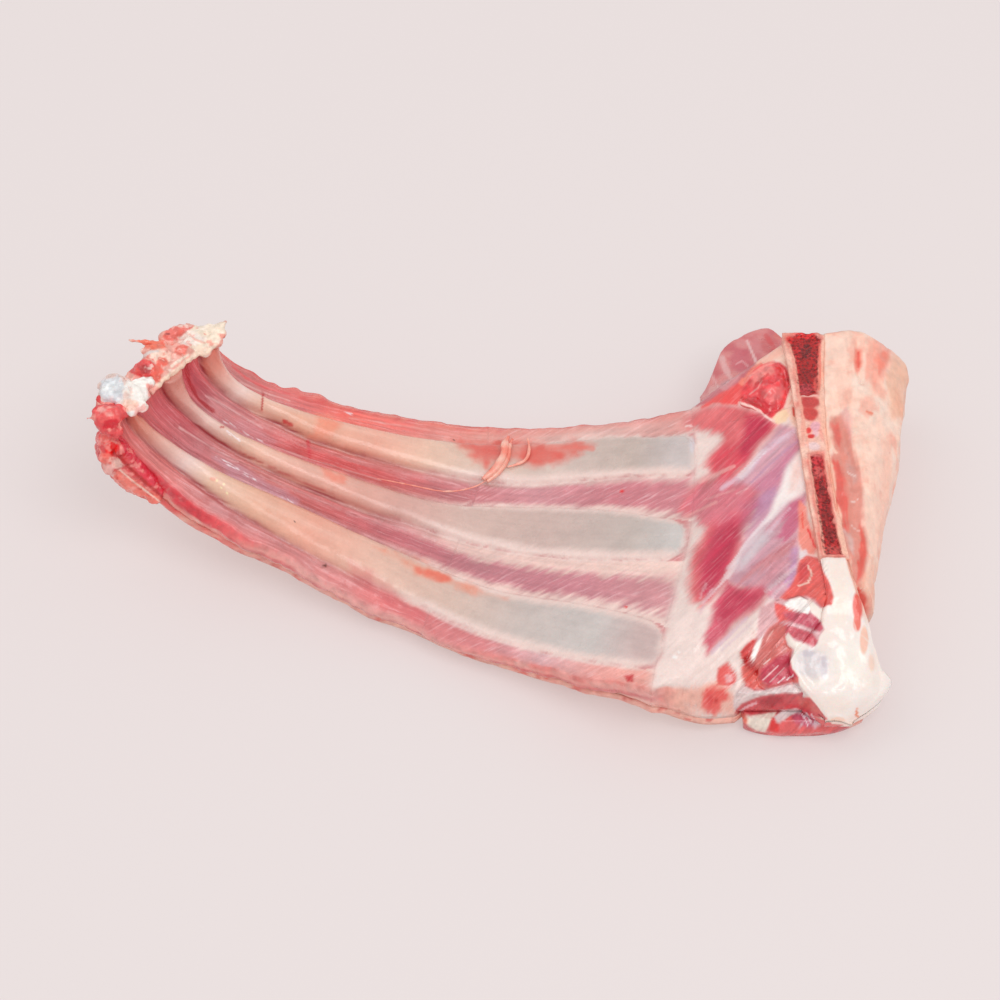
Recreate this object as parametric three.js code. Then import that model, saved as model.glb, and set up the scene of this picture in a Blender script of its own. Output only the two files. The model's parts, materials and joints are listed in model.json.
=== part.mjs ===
// Raw lamb ribs: three ribs with the meat between them, from the sawn spine end to the split breastbone.
// The piece lies on its outer side, hollow side up. X runs from the spine end to the breast end, Y across the
// ribs to the far edge, Z up. Lengths are in millimetres, and the outer fat rests on z = 0.
import * as THREE from 'three';
import { mergeVertices } from 'three/addons/utils/BufferGeometryUtils.js';

const { clamp, lerp, smoothstep, degToRad } = THREE.MathUtils;

// ---------------------------------------------------------------- driving dimensions
const GAP = 0.35; // clearance between neighbouring solids

// Five lengthwise lines on the hollow side, at the level of the rib tops, from the far edge to the near edge.
// "at" is the line's place across the sheet, "head" its end at the spine, "foot" the end of the rib bone,
// "bow" how far its plan bends towards the far side, and "stern" where it meets the breast end.
const LINES = [
  { at: 0, head: [-80, 47.5, 54.5], foot: [56.5, 41.5], bow: 1.5, stern: [84.3, 57.5, 38.5] },
  { at: 0.155, head: [-83, 40, 55.5], foot: [57, 26.5], bow: 0, stern: [86, 39, 37.5] },
  { at: 0.475, head: [-92.5, 28, 58], foot: [54.5, -6], bow: 1, stern: [88.4, 8, 35] },
  { at: 0.855, head: [-102, 14, 60], foot: [45, -45], bow: 6, stern: [92.5, -29, 30] },
  { at: 1, head: [-106, 9.5, 61.5], foot: [42, -60.5], bow: 2, stern: [66.5, -56, 22.5] },
];
const RIB_LINES = [1, 2, 3]; // the lines that carry a rib
const RIB_END_HALF_WIDTHS = [7.4, 8.8, 9.6]; // at the breast end of each rib
const RIB_HEAD_HALF_WIDTH = 3.6;
const RIB_DEPTH = { head: 2, foot: 4.6 }; // below the meat's surface
const RIB_RISE = { head: 2.4, foot: 1.1 }; // above the meat's surface
const RIB_ROUNDED_END = 0.075; // share of the length that rounds off at the breast end

// Slope of the ribs in degrees at shares of their length: a steep neck, the rib's angle, a long shaft and the
// rise to the breast.
const SLOPES = [[0, 106], [0.06, 57], [0.13, 41], [0.2, 22], [0.35, 19], [0.55, 13], [0.75, -13.5], [1, -22]];
const SPINE_CUT = 0.02; // the lengthwise value where the meat is sawn off at the spine
const BREAST_END = 1.3; // the lengthwise value at the breast end; 1 is the end of the rib bones
const BREAST_SLOPE = 18; // degrees, of the meat at the breast end

// Thickness of the meat, by place along the ribs. At the breast end it is more than the height, so that the
// meat fills the space below.
const THICKNESS = [[0, 7], [0.07, 10], [0.2, 12.5], [0.5, 13], [0.72, 13], [0.9, 26], [1.05, 40], [1.3, 40]];
const FAT_THICKNESS = 3.2; // of the layer on the outer side
const FAT_GAP = 0.8; // between that layer and the meat, which bend a little differently
const HOLLOW = 0.8; // how far the meat sags between two ribs
// How far the underside draws in and lifts along the long edges, by place along the ribs.
const EDGE_TUCKS = [[0, 0], [0.2, 0], [0.45, 3], [0.8, 2.5], [1, 4.5], [1.2, 0], [1.3, 0]];
const EDGE_SWELL = [[0, 0.2], [0.17, 0.2], [0.3, 1.6], [0.9, 1.6], [1.05, 0.4], [1.3, 0.4]]; // outward
const EDGE_LIFTS = [[0, 0], [0.25, 0], [0.5, 0.8], [0.7, 1], [0.85, 5], [1, 8.5], [1.1, 6], [1.3, 3]];

// The split breast end, by Y: the right side of its bone and cartilage, and the height of its sawn face.
const SPLIT_RIGHT = [[59, 95.5], [37, 94.3], [14, 94.6], [-10, 97.2], [-19, 98.6], [-31, 101.5], [-38, 104],
  [-45, 106], [-51, 107.3], [-57, 106], [-61, 102.5]];
const SPLIT_HEIGHT = [[59, 38.5], [37, 37.5], [14, 35.5], [-10, 33], [-19, 32], [-31, 30], [-38, 27.5],
  [-45, 25], [-52, 22], [-57, 19.5], [-61, 15.5]];
const BONE_DEPTH = 9;
const BREASTBONE_PARTS = [
  { name: 'breastbone_far', from: 58.6, to: 37.2, color: 0x7a1f28 },
  { name: 'breastbone_cartilage', from: 36.8, to: 15.4, color: 0xd9a08f },
  { name: 'breastbone_near', from: 15, to: -19, color: 0x6e1a24 },
];
const BORDER_TOP = 57.4; // Y above which the sheet's breast end runs straight up

// The cartilage at the near end of the breastbone: Y of its ends, its left side by Y, the Y between which it
// leaves the sheet's border, grows wide and grows deep, and its crown and fall to the right.
const CARTILAGE_SPAN = [-19.4, -60.6];
const CARTILAGE_LEFT = [[-38, 90.5], [-45, 84.5], [-50, 81.8], [-54, 84], [-58, 88], [-61, 92]];
const CARTILAGE_TURN = { left: [-29, -38], wide: [-31, -45], deep: [-31, -35] };
const CARTILAGE_CROWN = 1.5;
const CARTILAGE_FALL = 3;

// The cut muscle beside the cartilage, and the muscle below both.
const END_MUSCLE = { span: [-34.5, -55.6], high: 30, low: 17.5, fall: [-34, -58], rough: 1.2, space: 0.2 };
const LOWER_TOP = 8.6;
const LOWER_MUSCLE = { far: -29, depth: 29.5, taper: 0.16, left: -55.8, right: 104, draw: 2, drop: 0.8,
  drawn: [-48, -60], bulge: 1.2 };

// The brisket fat: Y of its ends, its right side by Y, its swell beside the sawn face, the height of its
// right edge, how far the foot of that edge draws in, how far it bulges, and its columns below the bone.
const BRISKET_SPAN = [59.4, -28.6];
const BRISKET_RIGHT = [[60, 113], [57.5, 117], [49, 119.5], [38, 119], [22, 116], [-2, 110], [-29, 105]];
const BRISKET = { swell: 1.6, rim: 27, foot: 6, bulge: 3, under: 2 };

// The flap behind the far corner: its far edge by X, its heights, and where its underside comes down.
const FLAP_FAR = [[60, 50], [62.4, 56], [65, 63], [67, 68.5], [72, 73], [77, 77], [81, 78], [84, 76.5]];
const FLAP_REACH = LINES[0].stern[0] - LINES[0].foot[0];
const FLAP_SPACE = 1.3; // between the far edge and the flap
const FLAP_HEIGHT = { rim: 19.5, root: 23 };
const FLAP_UNDER = { rim: 12, root: 2, from: 0.7 };
const FLAP_ROUGH = 0.8;

// Muscle on the hollow side beside the breastbone, as [v, t of its left border, t of its right border].
const SKIRT = [[0.02, 1.02, 1.12], [0.11, 1.03, 1.12], [0.16, 1.06, 1.13], [0.215, 1.09, 1.285],
  [0.26, 1.1, 1.285], [0.34, 1.03, 1.285], [0.5, 1.012, 1.28], [0.62, 1.015, 1.26], [0.72, 1.03, 1.22],
  [0.82, 1.06, 1.18], [0.9, 1.09, 1.15]];
const SKIRT_THICKNESS = 2.2;
const SKIRT_ROUGH = 0.5;
const SKIRT_RIMS = [0.1, 0.06]; // shares of its width and length where it stays as thin as its rim

// Ragged meat at the far corner: its left border at the far and near side, and its place on the sheet.
const FAR_MEAT = { left: [1.15, 1.225], right: 1.285, v: [0.012, 0.18], height: 3.4, rough: 0.9,
  rims: [0.1, 0.15] };

// Loose strand of membrane across the first rib, as [t, v, height above the rib tops].
const STRAND = {
  radius: 1.2,
  sides: 6,
  tip: 0.45, // size of its ends, as a share
  path: [[0.646, 0.06, -0.9], [0.638, 0.1, 0], [0.64, 0.155, 0.2], [0.636, 0.2, 0], [0.625, 0.24, -0.6],
    [0.612, 0.275, -0.8]],
};
const STRAND_STEPS = 14;

// Lumps on the sawn spine end, by their span across the ribs and through the thickness.
const SPINE_LUMPS = [
  { name: 'spine_fat', span: [0.01, 0.66], through: [0.4, -9.5], height: 3.4, color: 0xe9b9a0 },
  { name: 'spine_cartilage', span: [0.672, 0.9], through: [-1.5, -13], height: 4.6, color: 0xe9e4e2 },
  { name: 'spine_meat', span: [0.912, 0.995], through: [0.5, -12], height: 2.8, color: 0xc13a3f },
];
const LUMP_ROUGH = 0.28;
const LUMP_RIMS = [0.12, 0.08]; // shares of a lump's width and length where its dome stays as low as its rim

// Loose meat that hangs beside the near edge near the spine, as [t, how far it reaches out, how deep its top
// and its bottom lie below the sheet].
const EDGE_MEAT = [[0.045, 0.6, 6, 10], [0.06, 2.6, 5, 14.5], [0.08, 4.2, 4.6, 16.5], [0.1, 5.2, 4.6, 17.5],
  [0.125, 4.6, 5.5, 18], [0.145, 2.8, 7, 17.5], [0.165, 0.6, 10, 15.5]];
const EDGE_MEAT_SPACE = 0.75; // between it and the long edge
const EDGE_MEAT_ROUGH = 0.12;

// Spaces along, across and up each bent box.
const SPACES = {
  breastbone: [2, 8, 2],
  cartilage: [4, 14, 2],
  brisket: [8, 16, 3],
  endMuscle: [5, 9, 2],
  lowerMuscle: [8, 8, 2],
  skirt: [6, 14, 1],
  farMeat: [6, 6, 1],
  flap: [12, 5, 2],
  spine: [6, 10, 2],
  edgeMeat: [10, 3, 5],
};

// ---------------------------------------------------------------- small tools
// Number of the row of [place, value...] before a place.
function rowBefore(rows, at) {
  const last = rows.length - 1;
  const rising = rows[last][0] > rows[0][0];
  const beyond = rows.findIndex((row) => (rising ? row[0] > at : row[0] < at));
  return beyond < 0 ? last - 1 : clamp(beyond - 1, 0, last - 1);
}

// Straight pieces through rows of [place, value...].
function straight(rows, at, column = 1) {
  const k = rowBefore(rows, at);
  const s = clamp((at - rows[k][0]) / (rows[k + 1][0] - rows[k][0]), 0, 1);
  return lerp(rows[k][column], rows[k + 1][column], s);
}

// Smooth curve through rows of [place, value...], by cubic pieces with slopes from the neighbours.
function through(rows, at, column = 1) {
  const last = rows.length - 1;
  const k = rowBefore(rows, at);
  const slope = (n) => {
    const a = Math.max(n - 1, 0);
    const b = Math.min(n + 1, last);
    return (rows[b][column] - rows[a][column]) / (rows[b][0] - rows[a][0]);
  };
  const span = rows[k + 1][0] - rows[k][0];
  const s = clamp((at - rows[k][0]) / span, 0, 1);
  const [p, q] = [rows[k][column], rows[k + 1][column]];
  const [m, n] = [slope(k) * span, slope(k + 1) * span];
  return p * (2 * s ** 3 - 3 * s ** 2 + 1) + m * (s ** 3 - 2 * s ** 2 + s)
    + q * (3 * s ** 2 - 2 * s ** 3) + n * (s ** 3 - s ** 2);
}

// Gentle unevenness between -1 and 1, the same for the same place.
function uneven(x, y, z, size) {
  const [a, b, c] = [x / size, y / size, z / size];
  const first = Math.sin(a * 2.1 + 1.3 * Math.sin(b * 1.7 + 0.5));
  const second = Math.sin(b * 2.6 - 1.1 * Math.sin(c * 2.3 + 1.9));
  const third = Math.sin(c * 2.9 + 1.2 * Math.sin(a * 1.9 + 4.1));
  return (first + second + third) / 3;
}

// Moves each vertex of a geometry and merges the ones that meet, so that the surface is closed.
function bend(source, place) {
  source.deleteAttribute('normal');
  source.deleteAttribute('uv');
  const merged = mergeVertices(source, 1e-5);
  const spots = merged.getAttribute('position');
  for (let i = 0; i < spots.count; i += 1) {
    const spot = place(spots.getX(i), spots.getY(i), spots.getZ(i));
    spots.setXYZ(i, spot.x, spot.y, spot.z);
  }
  merged.computeVertexNormals();
  return merged;
}

// A box with rows of vertices, bent by place(u, v, w): u runs 0 to 1 along X, v from the far side to the near
// side, and w from the underside to the top.
function bentBox([alongX, alongY, alongZ], place) {
  const box = new THREE.BoxGeometry(1, 1, 1, alongX, alongY, alongZ);
  return bend(box, (x, y, z) => place(x + 0.5, 0.5 - y, z + 0.5));
}

function named(name, geometry, color, roughness) {
  const material = new THREE.MeshStandardMaterial({ color, roughness, metalness: 0 });
  const mesh = new THREE.Mesh(geometry, material);
  mesh.name = name;
  return mesh;
}

// ---------------------------------------------------------------- the curved sheet
// Run and height of the common rib profile, for a rib whose plan length is 1.
const PROFILE_STEPS = 240;
const profile = (() => {
  const points = [[0, 0]];
  for (let i = 1; i <= PROFILE_STEPS; i += 1) {
    const share = (i - 0.5) / PROFILE_STEPS;
    const k = Math.max(1, SLOPES.findIndex((row) => row[0] >= share));
    const [[s0, a0], [s1, a1]] = [SLOPES[k - 1], SLOPES[k]];
    const slope = degToRad(lerp(a0, a1, (share - s0) / (s1 - s0)));
    const [run, height] = points[i - 1];
    points.push([run + Math.cos(slope), height - Math.sin(slope)]);
  }
  const total = points[PROFILE_STEPS][0];
  return points.map(([run, height]) => [run / total, height / total]);
})();

function profileAt(t) {
  const place = clamp(t, 0, 1) * PROFILE_STEPS;
  const i = Math.min(Math.floor(place), PROFILE_STEPS - 1);
  return [0, 1].map((column) => lerp(profile[i][column], profile[i + 1][column], place - i));
}

const lineRows = (pick) => LINES.map((line) => [line.at, pick(line)]);
const HEAD = [0, 1, 2].map((axis) => lineRows((line) => line.head[axis]));
const FOOT = [0, 1].map((axis) => lineRows((line) => line.foot[axis]));
const STERN = [0, 1, 2].map((axis) => lineRows((line) => line.stern[axis]));
const BOW = lineRows((line) => line.bow);

// Point of the hollow side at the level of the rib tops. t is 0 at the spine, 1 at the ends of the rib bones
// and BREAST_END at the breast end; v is 0 at the far edge and 1 at the near edge.
function sheetPoint(t, v) {
  const head = HEAD.map((rows) => through(rows, v));
  const foot = FOOT.map((rows) => through(rows, v));
  const [dx, dy] = [foot[0] - head[0], foot[1] - head[1]];
  const length = Math.hypot(dx, dy);
  const [run, height] = profileAt(t);
  const aside = 4 * run * (1 - run) * through(BOW, v);
  const onRib = new THREE.Vector3(
    head[0] + dx * run - (dy / length) * aside,
    head[1] + dy * run + (dx / length) * aside,
    head[2] + height * length,
  );
  if (t <= 1) return onRib;
  const stern = STERN.map((rows) => straight(rows, v));
  const s = (t - 1) / (BREAST_END - 1);
  const reach = Math.hypot(stern[0] - onRib.x, stern[1] - onRib.y);
  const startRise = Math.tan(degToRad(-SLOPES[SLOPES.length - 1][1])) * reach;
  const endRise = Math.tan(degToRad(BREAST_SLOPE)) * reach;
  const z = onRib.z * (2 * s ** 3 - 3 * s ** 2 + 1) + startRise * (s ** 3 - 2 * s ** 2 + s)
    + stern[2] * (3 * s ** 2 - 2 * s ** 3) + endRise * (s ** 3 - s ** 2);
  return new THREE.Vector3(lerp(onRib.x, stern[0], s), lerp(onRib.y, stern[1], s), z);
}

// Directions at a point of the sheet: "along" the ribs, "across" them towards the far edge, and "out" of the
// hollow side, which turns to straight up towards the breast end. perShare is the width of the sheet there.
function sheetAxes(t, v) {
  const step = 1e-3;
  const [t0, t1] = [Math.max(t - step, 0), Math.min(t + step, BREAST_END)];
  const [v0, v1] = [Math.max(v - step, 0), Math.min(v + step, 1)];
  const along = sheetPoint(t1, v).sub(sheetPoint(t0, v));
  const across = sheetPoint(t, v0).sub(sheetPoint(t, v1));
  const perShare = across.length() / (v1 - v0);
  const out = new THREE.Vector3().crossVectors(along, across).normalize();
  out.lerp(new THREE.Vector3(0, 0, 1), smoothstep(t, 0.6, 1)).normalize();
  return { along: along.normalize(), across: across.normalize(), out, perShare };
}

const ribRise = (t) => lerp(RIB_RISE.head, RIB_RISE.foot, smoothstep(t, 0.3, 0.8));
const ribDepth = (t) => lerp(RIB_DEPTH.head, RIB_DEPTH.foot, smoothstep(t, 0.03, 0.2));
const ribHalfWidth = (rib, t) => (
  lerp(RIB_HEAD_HALF_WIDTH, RIB_END_HALF_WIDTHS[rib], smoothstep(t, 0.05, 0.85)));

// Size of a rib's section near its rounded breast end, as a share of the full size.
function roundedEnd(t, extra = 0) {
  const into = (t - (1 - RIB_ROUNDED_END)) / (RIB_ROUNDED_END + extra);
  return into <= 0 ? 1 : Math.sqrt(Math.max(0, 1 - into * into));
}

// Top of the meat beyond the ends of the rib bones.
function breastSurface(t, v) {
  const { out } = sheetAxes(t, v);
  return sheetPoint(t, v).addScaledVector(out, -ribRise(t));
}

// Point on the section of a rib or its channel: angle 0 is its near side, 90 degrees its bottom.
function ribPoint(rib, t, angle, half, depth) {
  const { at } = LINES[RIB_LINES[rib]];
  const { across, out } = sheetAxes(t, at);
  return sheetPoint(t, at)
    .addScaledVector(across, -half * Math.cos(angle))
    .addScaledVector(out, -ribRise(t) - depth * Math.sin(angle));
}

// ---------------------------------------------------------------- meat
// Stations across the meat: shares of the margins and of the spaces between ribs, and angles round the
// channel of each rib.
const CHANNEL_ANGLES = [180, 135, 90, 45, 0];
const STATIONS = [];
for (let gap = 0; gap <= RIB_LINES.length; gap += 1) {
  const shares = [[0, 0.5], [0.3, 0.7], [0.3, 0.7], [0.5, 1]][gap];
  shares.forEach((share) => STATIONS.push({ gap, share }));
  if (gap < RIB_LINES.length) {
    CHANNEL_ANGLES.forEach((angle) => STATIONS.push({ rib: gap, angle: degToRad(angle) }));
  }
}

// Lengthwise stations: closer together at the rib's angle and where the bones end.
const LENGTHWISE = [SPINE_CUT, 0.04, 0.065, 0.1, 0.14, 0.19, 0.25, 0.32, 0.4, 0.48, 0.56, 0.63, 0.7, 0.77,
  0.84, 0.9, 0.94, 0.975, 0.995, 1.02, 1.08, 1.15, 1.225, BREAST_END];

// Edge of a rib's channel towards the far (-1) or near (+1) side, as a share across the sheet.
function ribEdge(rib, side, t) {
  const { at } = LINES[RIB_LINES[rib]];
  return at + (side * (ribHalfWidth(rib, t) + GAP)) / sheetAxes(t, at).perShare;
}

// Point of the meat's hollow side at a station.
function meatTop(station, t) {
  if (station.rib !== undefined) {
    const share = 0.5 + 0.5 * Math.cos(station.angle);
    const v = lerp(ribEdge(station.rib, -1, t), ribEdge(station.rib, 1, t), share);
    if (t > 1) return { v, point: breastSurface(t, v) };
    const half = ribHalfWidth(station.rib, t) + GAP;
    const depth = (ribDepth(t) + GAP) * roundedEnd(t, 0.004);
    return { v, point: ribPoint(station.rib, t, station.angle, half, depth) };
  }
  const from = station.gap === 0 ? 0 : ribEdge(station.gap - 1, 1, t);
  const to = station.gap === RIB_LINES.length ? 1 : ribEdge(station.gap, -1, t);
  const v = lerp(from, to, station.share);
  const sag = HOLLOW * Math.sin(Math.PI * station.share);
  const point = sheetPoint(t, v).addScaledVector(sheetAxes(t, v).out, -ribRise(t) - sag);
  return { v, point };
}

// Point below the sheet's hollow side, "extra" beyond the meat's own underside. The long edges are thinner.
function underPoint(t, v, extra) {
  const edge = Math.abs(2 * v - 1) ** 6;
  const { across, out } = sheetAxes(t, v);
  const thick = through(THICKNESS, t) + extra;
  const tuck = edge * (v < 0.5 ? -1 : 1) * through(EDGE_TUCKS, t);
  const point = sheetPoint(t, v).addScaledVector(out, -thick).addScaledVector(across, tuck);
  point.z = Math.max(point.z, FAT_THICKNESS - extra) + edge * through(EDGE_LIFTS, t);
  return point;
}

// Outward swell of a long edge, largest at mid height.
function swell(point, t, v, w, size) {
  if (v > 1e-6 && v < 1 - 1e-6) return point;
  const bulge = Math.sin(Math.PI * w) * size * (1 + 0.6 * uneven(point.x, point.y, point.z, 5));
  return point.addScaledVector(sheetAxes(t, v).across, v < 0.5 ? bulge : -bulge);
}

function meat() {
  return bentBox([LENGTHWISE.length - 1, STATIONS.length - 1, 3], (u, v, w) => {
    const t = LENGTHWISE[Math.round(u * (LENGTHWISE.length - 1))];
    const top = meatTop(STATIONS[Math.round(v * (STATIONS.length - 1))], t);
    const point = underPoint(t, top.v, 0).lerp(top.point, w);
    return swell(point, t, v, w, straight(EDGE_SWELL, t));
  });
}

// The layer of fat on the outer side. It follows the meat's underside, with a thin space between them.
function outerFat() {
  return bentBox([LENGTHWISE.length - 1, STATIONS.length - 1, 1], (u, v, w) => {
    const t = LENGTHWISE[Math.round(u * (LENGTHWISE.length - 1))];
    const across = meatTop(STATIONS[Math.round(v * (STATIONS.length - 1))], t).v;
    return underPoint(t, across, w > 0.5 ? FAT_GAP : FAT_THICKNESS);
  });
}

// ---------------------------------------------------------------- rib bones
function ribBone(rib) {
  const along = LENGTHWISE.filter((t) => t < 1);
  const rod = new THREE.CylinderGeometry(1, 1, 1, 2 * (CHANNEL_ANGLES.length - 1), along.length - 1);
  return bend(rod, (x, y, z) => {
    const t = along[Math.round((y + 0.5) * (along.length - 1))];
    const size = roundedEnd(t);
    const height = (z > 0 ? ribRise(t) : ribDepth(t)) * size;
    const angle = Math.atan2(-z, x);
    const middle = Math.hypot(x, z);
    const half = ribHalfWidth(rib, t) * size * middle;
    return ribPoint(rib, t, angle, half, height * middle);
  });
}

// ---------------------------------------------------------------- breast end
// X of the sheet's breast end at a given Y.
function borderX(y) {
  let [v0, v1] = [0, 1];
  for (let i = 0; i < 30; i += 1) {
    const v = (v0 + v1) / 2;
    if (sheetPoint(BREAST_END, v).y > y) v0 = v;
    else v1 = v;
  }
  return sheetPoint(BREAST_END, v0).x;
}

const sawnHeight = (y) => through(SPLIT_HEIGHT, y);
const sawnRight = (y) => through(SPLIT_RIGHT, y);
const sawnLeft = (y) => borderX(Math.min(y, BORDER_TOP)) + GAP;
const nearness = (y, [from, to]) => smoothstep(-y, -from, -to); // 0 at the first Y, 1 at the second

function breastbonePart({ from, to }) {
  return bentBox(SPACES.breastbone, (u, v, w) => {
    const y = lerp(from, to, v);
    const x = lerp(sawnLeft(y), sawnRight(y), u);
    return new THREE.Vector3(x, y, sawnHeight(y) - BONE_DEPTH * (1 - w));
  });
}

// The cartilage at the near end of the breastbone: it runs on from the bone, widens and turns down.
function breastCartilage() {
  const { left: turn, wide, deep } = CARTILAGE_TURN;
  return bentBox(SPACES.cartilage, (u, v, w) => {
    const y = lerp(...CARTILAGE_SPAN, v);
    const left = lerp(sawnLeft(Math.max(y, turn[0])), through(CARTILAGE_LEFT, y), nearness(y, turn));
    const x = lerp(left, sawnRight(y), u);
    const crown = CARTILAGE_CROWN * Math.sin(Math.PI * u) - CARTILAGE_FALL * u ** 2;
    const top = sawnHeight(y) + nearness(y, wide) * crown;
    const under = lerp(sawnHeight(y) - BONE_DEPTH, LOWER_TOP + GAP, nearness(y, deep));
    return new THREE.Vector3(x, y, lerp(under, top, w));
  });
}

// The fat beside and below the breastbone.
function brisket() {
  const across = SPACES.brisket[0];
  return bentBox(SPACES.brisket, (u, v, w) => {
    const y = lerp(...BRISKET_SPAN, v);
    const column = Math.round(u * across);
    const [left, step, right] = [sawnLeft(y), sawnRight(y) + GAP, through(BRISKET_RIGHT, y)];
    const share = clamp((column - BRISKET.under) / (across - BRISKET.under), 0, 1);
    const side = lerp(step, right, share);
    const floor = new THREE.Vector3(lerp(left, right - BRISKET.foot, u), y, 0);
    const low = sawnHeight(y) - BONE_DEPTH - GAP;
    const fall = (sawnHeight(y) - BRISKET.rim) * share ** 3;
    const high = sawnHeight(y) + BRISKET.swell * Math.sin(Math.PI * share) - fall;
    const below = column < BRISKET.under;
    const top = new THREE.Vector3(below ? lerp(left, step, column) : side, y, below ? low : high);
    const point = floor.lerp(top, w);
    if (u > 1 - 1e-6) point.x += Math.sin(Math.PI * w) * BRISKET.bulge;
    return point;
  });
}

// The cut muscle between the meat and the cartilage at the near corner.
function endMuscle() {
  const { span, high, low, fall, rough, space } = END_MUSCLE;
  return bentBox(SPACES.endMuscle, (u, v, w) => {
    const y = lerp(...span, v);
    const right = through(CARTILAGE_LEFT, Math.min(y, CARTILAGE_LEFT[0][0])) - GAP - space;
    const x = lerp(sawnLeft(y) + space, right, u);
    const top = lerp(high, low, nearness(y, fall)) + rough * uneven(x, y, 0, 5);
    return new THREE.Vector3(x, y, lerp(LOWER_TOP + GAP, top, w));
  });
}

// The muscle on the table below the cartilage and the cut muscle.
function lowerMuscle() {
  const { far, depth, taper, draw, drop, bulge } = LOWER_MUSCLE;
  return bentBox(SPACES.lowerMuscle, (u, v, w) => {
    const side = 1 - taper * Math.abs(2 * u - 1) ** 3;
    const y = lerp(far - GAP, far - depth * side, v);
    const near = nearness(y, LOWER_MUSCLE.drawn);
    const right = Math.min(sawnRight(y), LOWER_MUSCLE.right) - draw * near;
    const x = lerp(sawnLeft(Math.max(y, LOWER_MUSCLE.left)), right, u);
    const round = v > 1 - 1e-6 ? Math.sin(Math.PI * w) * bulge : 0;
    return new THREE.Vector3(x, y - round, lerp(0, LOWER_TOP - drop * near, w));
  });
}

// ---------------------------------------------------------------- pieces on and behind the meat
// Height of a dome over a bent box, as a share: it falls to the rim, and stays level within the given shares
// of the box's width and length.
const rimShare = (u, v, [keepU, keepV]) => Math.sin(Math.PI * clamp(u, keepU, 1 - keepU))
  * Math.sin(Math.PI * clamp(v, keepV, 1 - keepV));

function skirtMuscle() {
  return bentBox(SPACES.skirt, (u, v, w) => {
    const at = lerp(SKIRT[0][0], SKIRT[SKIRT.length - 1][0], v);
    const t = lerp(straight(SKIRT, at, 1), straight(SKIRT, at, 2), u);
    const surface = breastSurface(t, at);
    const high = SKIRT_THICKNESS * Math.sqrt(rimShare(u, v, SKIRT_RIMS))
      + SKIRT_ROUGH * uneven(surface.x, surface.y, 0, 3);
    surface.z += w < 0.5 ? 2 * GAP : 3 * GAP + high;
    return surface;
  });
}

// The ragged lump of meat at the far corner of the sheet.
function farMeat() {
  const { left, right, v: span, height, rough, rims } = FAR_MEAT;
  return bentBox(SPACES.farMeat, (u, v, w) => {
    const [t, at] = [lerp(lerp(...left, v), right, u), lerp(...span, v)];
    const surface = breastSurface(t, at);
    const high = rimShare(u, v, rims) * (height + rough * uneven(surface.x, surface.y, 0, 2.5));
    surface.z += w < 0.5 ? 2 * GAP : 4 * GAP + high;
    return surface;
  });
}

// A fold of loose membrane that lies across a rib.
function membraneStrand() {
  const points = STRAND.path.map(([t, v, above]) => {
    const { out } = sheetAxes(t, v);
    return sheetPoint(t, v).addScaledVector(out, above + STRAND.radius + GAP);
  });
  const curve = new THREE.CatmullRomCurve3(points);
  const spots = curve.getSpacedPoints(STRAND_STEPS);
  const rod = new THREE.CylinderGeometry(1, 1, 1, STRAND.sides, STRAND_STEPS);
  return bend(rod, (x, y, z) => {
    const i = Math.round((y + 0.5) * STRAND_STEPS);
    const ahead = spots[Math.min(i + 1, STRAND_STEPS)].clone().sub(spots[Math.max(i - 1, 0)]).normalize();
    const side = new THREE.Vector3().crossVectors(ahead, new THREE.Vector3(0, 0, 1)).normalize();
    const over = new THREE.Vector3().crossVectors(side, ahead);
    const size = STRAND.radius * (i === 0 || i === STRAND_STEPS ? STRAND.tip : 1);
    return spots[i].clone().addScaledVector(side, x * size).addScaledVector(over, z * size);
  });
}

// The flap of outer muscle that lies behind the far corner.
function farFlap() {
  const [from, to] = [FLAP_FAR[0][0], FLAP_FAR[FLAP_FAR.length - 1][0]];
  return bentBox(SPACES.flap, (u, v, w) => {
    const x = lerp(from, to, u);
    const root = lerp(LINES[0].foot[1], LINES[0].stern[1], (x - LINES[0].foot[0]) / FLAP_REACH) + FLAP_SPACE;
    const y = lerp(through(FLAP_FAR, x), root, v);
    const top = lerp(FLAP_HEIGHT.rim, FLAP_HEIGHT.root, v) + FLAP_ROUGH * uneven(x, y, 0, 6);
    const under = lerp(FLAP_UNDER.rim, FLAP_UNDER.root, smoothstep(v, 0, FLAP_UNDER.from));
    return new THREE.Vector3(x, y, lerp(under, top, w));
  });
}

// A lump on the sawn end of the meat at the spine.
function spineLump({ span, through: [inner, outer], height }) {
  return bentBox(SPACES.spine, (u, v, w) => {
    const at = lerp(...span, v);
    const { along, out } = sheetAxes(SPINE_CUT, at);
    const depth = lerp(outer, inner, u);
    const point = sheetPoint(SPINE_CUT, at).addScaledVector(out, depth - ribRise(SPINE_CUT));
    const dome = rimShare(u, v, LUMP_RIMS) ** 0.5;
    const rough = 1 + LUMP_ROUGH * uneven(point.x, point.y, point.z, 4);
    return point.addScaledVector(along, -GAP - w * height * dome * rough);
  });
}

// The loose meat beside the near edge: rounded across, and thinner towards both ends.
function edgeMeat() {
  const [from, to] = [EDGE_MEAT[0][0], EDGE_MEAT[EDGE_MEAT.length - 1][0]];
  return bentBox(SPACES.edgeMeat, (u, v, w) => {
    const t = lerp(from, to, u);
    const [reach, top, bottom] = [1, 2, 3].map((column) => through(EDGE_MEAT, t, column));
    const { across, out } = sheetAxes(t, 1);
    const depth = lerp(bottom, top, w);
    const spot = sheetPoint(t, 1).addScaledVector(out, -depth);
    const rough = 1 + EDGE_MEAT_ROUGH * uneven(spot.x, spot.y, spot.z, 4);
    const round = Math.sqrt(1 - (2 * w - 1) ** 2 * 0.75);
    return spot.addScaledVector(across, -EDGE_MEAT_SPACE - v * reach * round * rough);
  });
}

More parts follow.
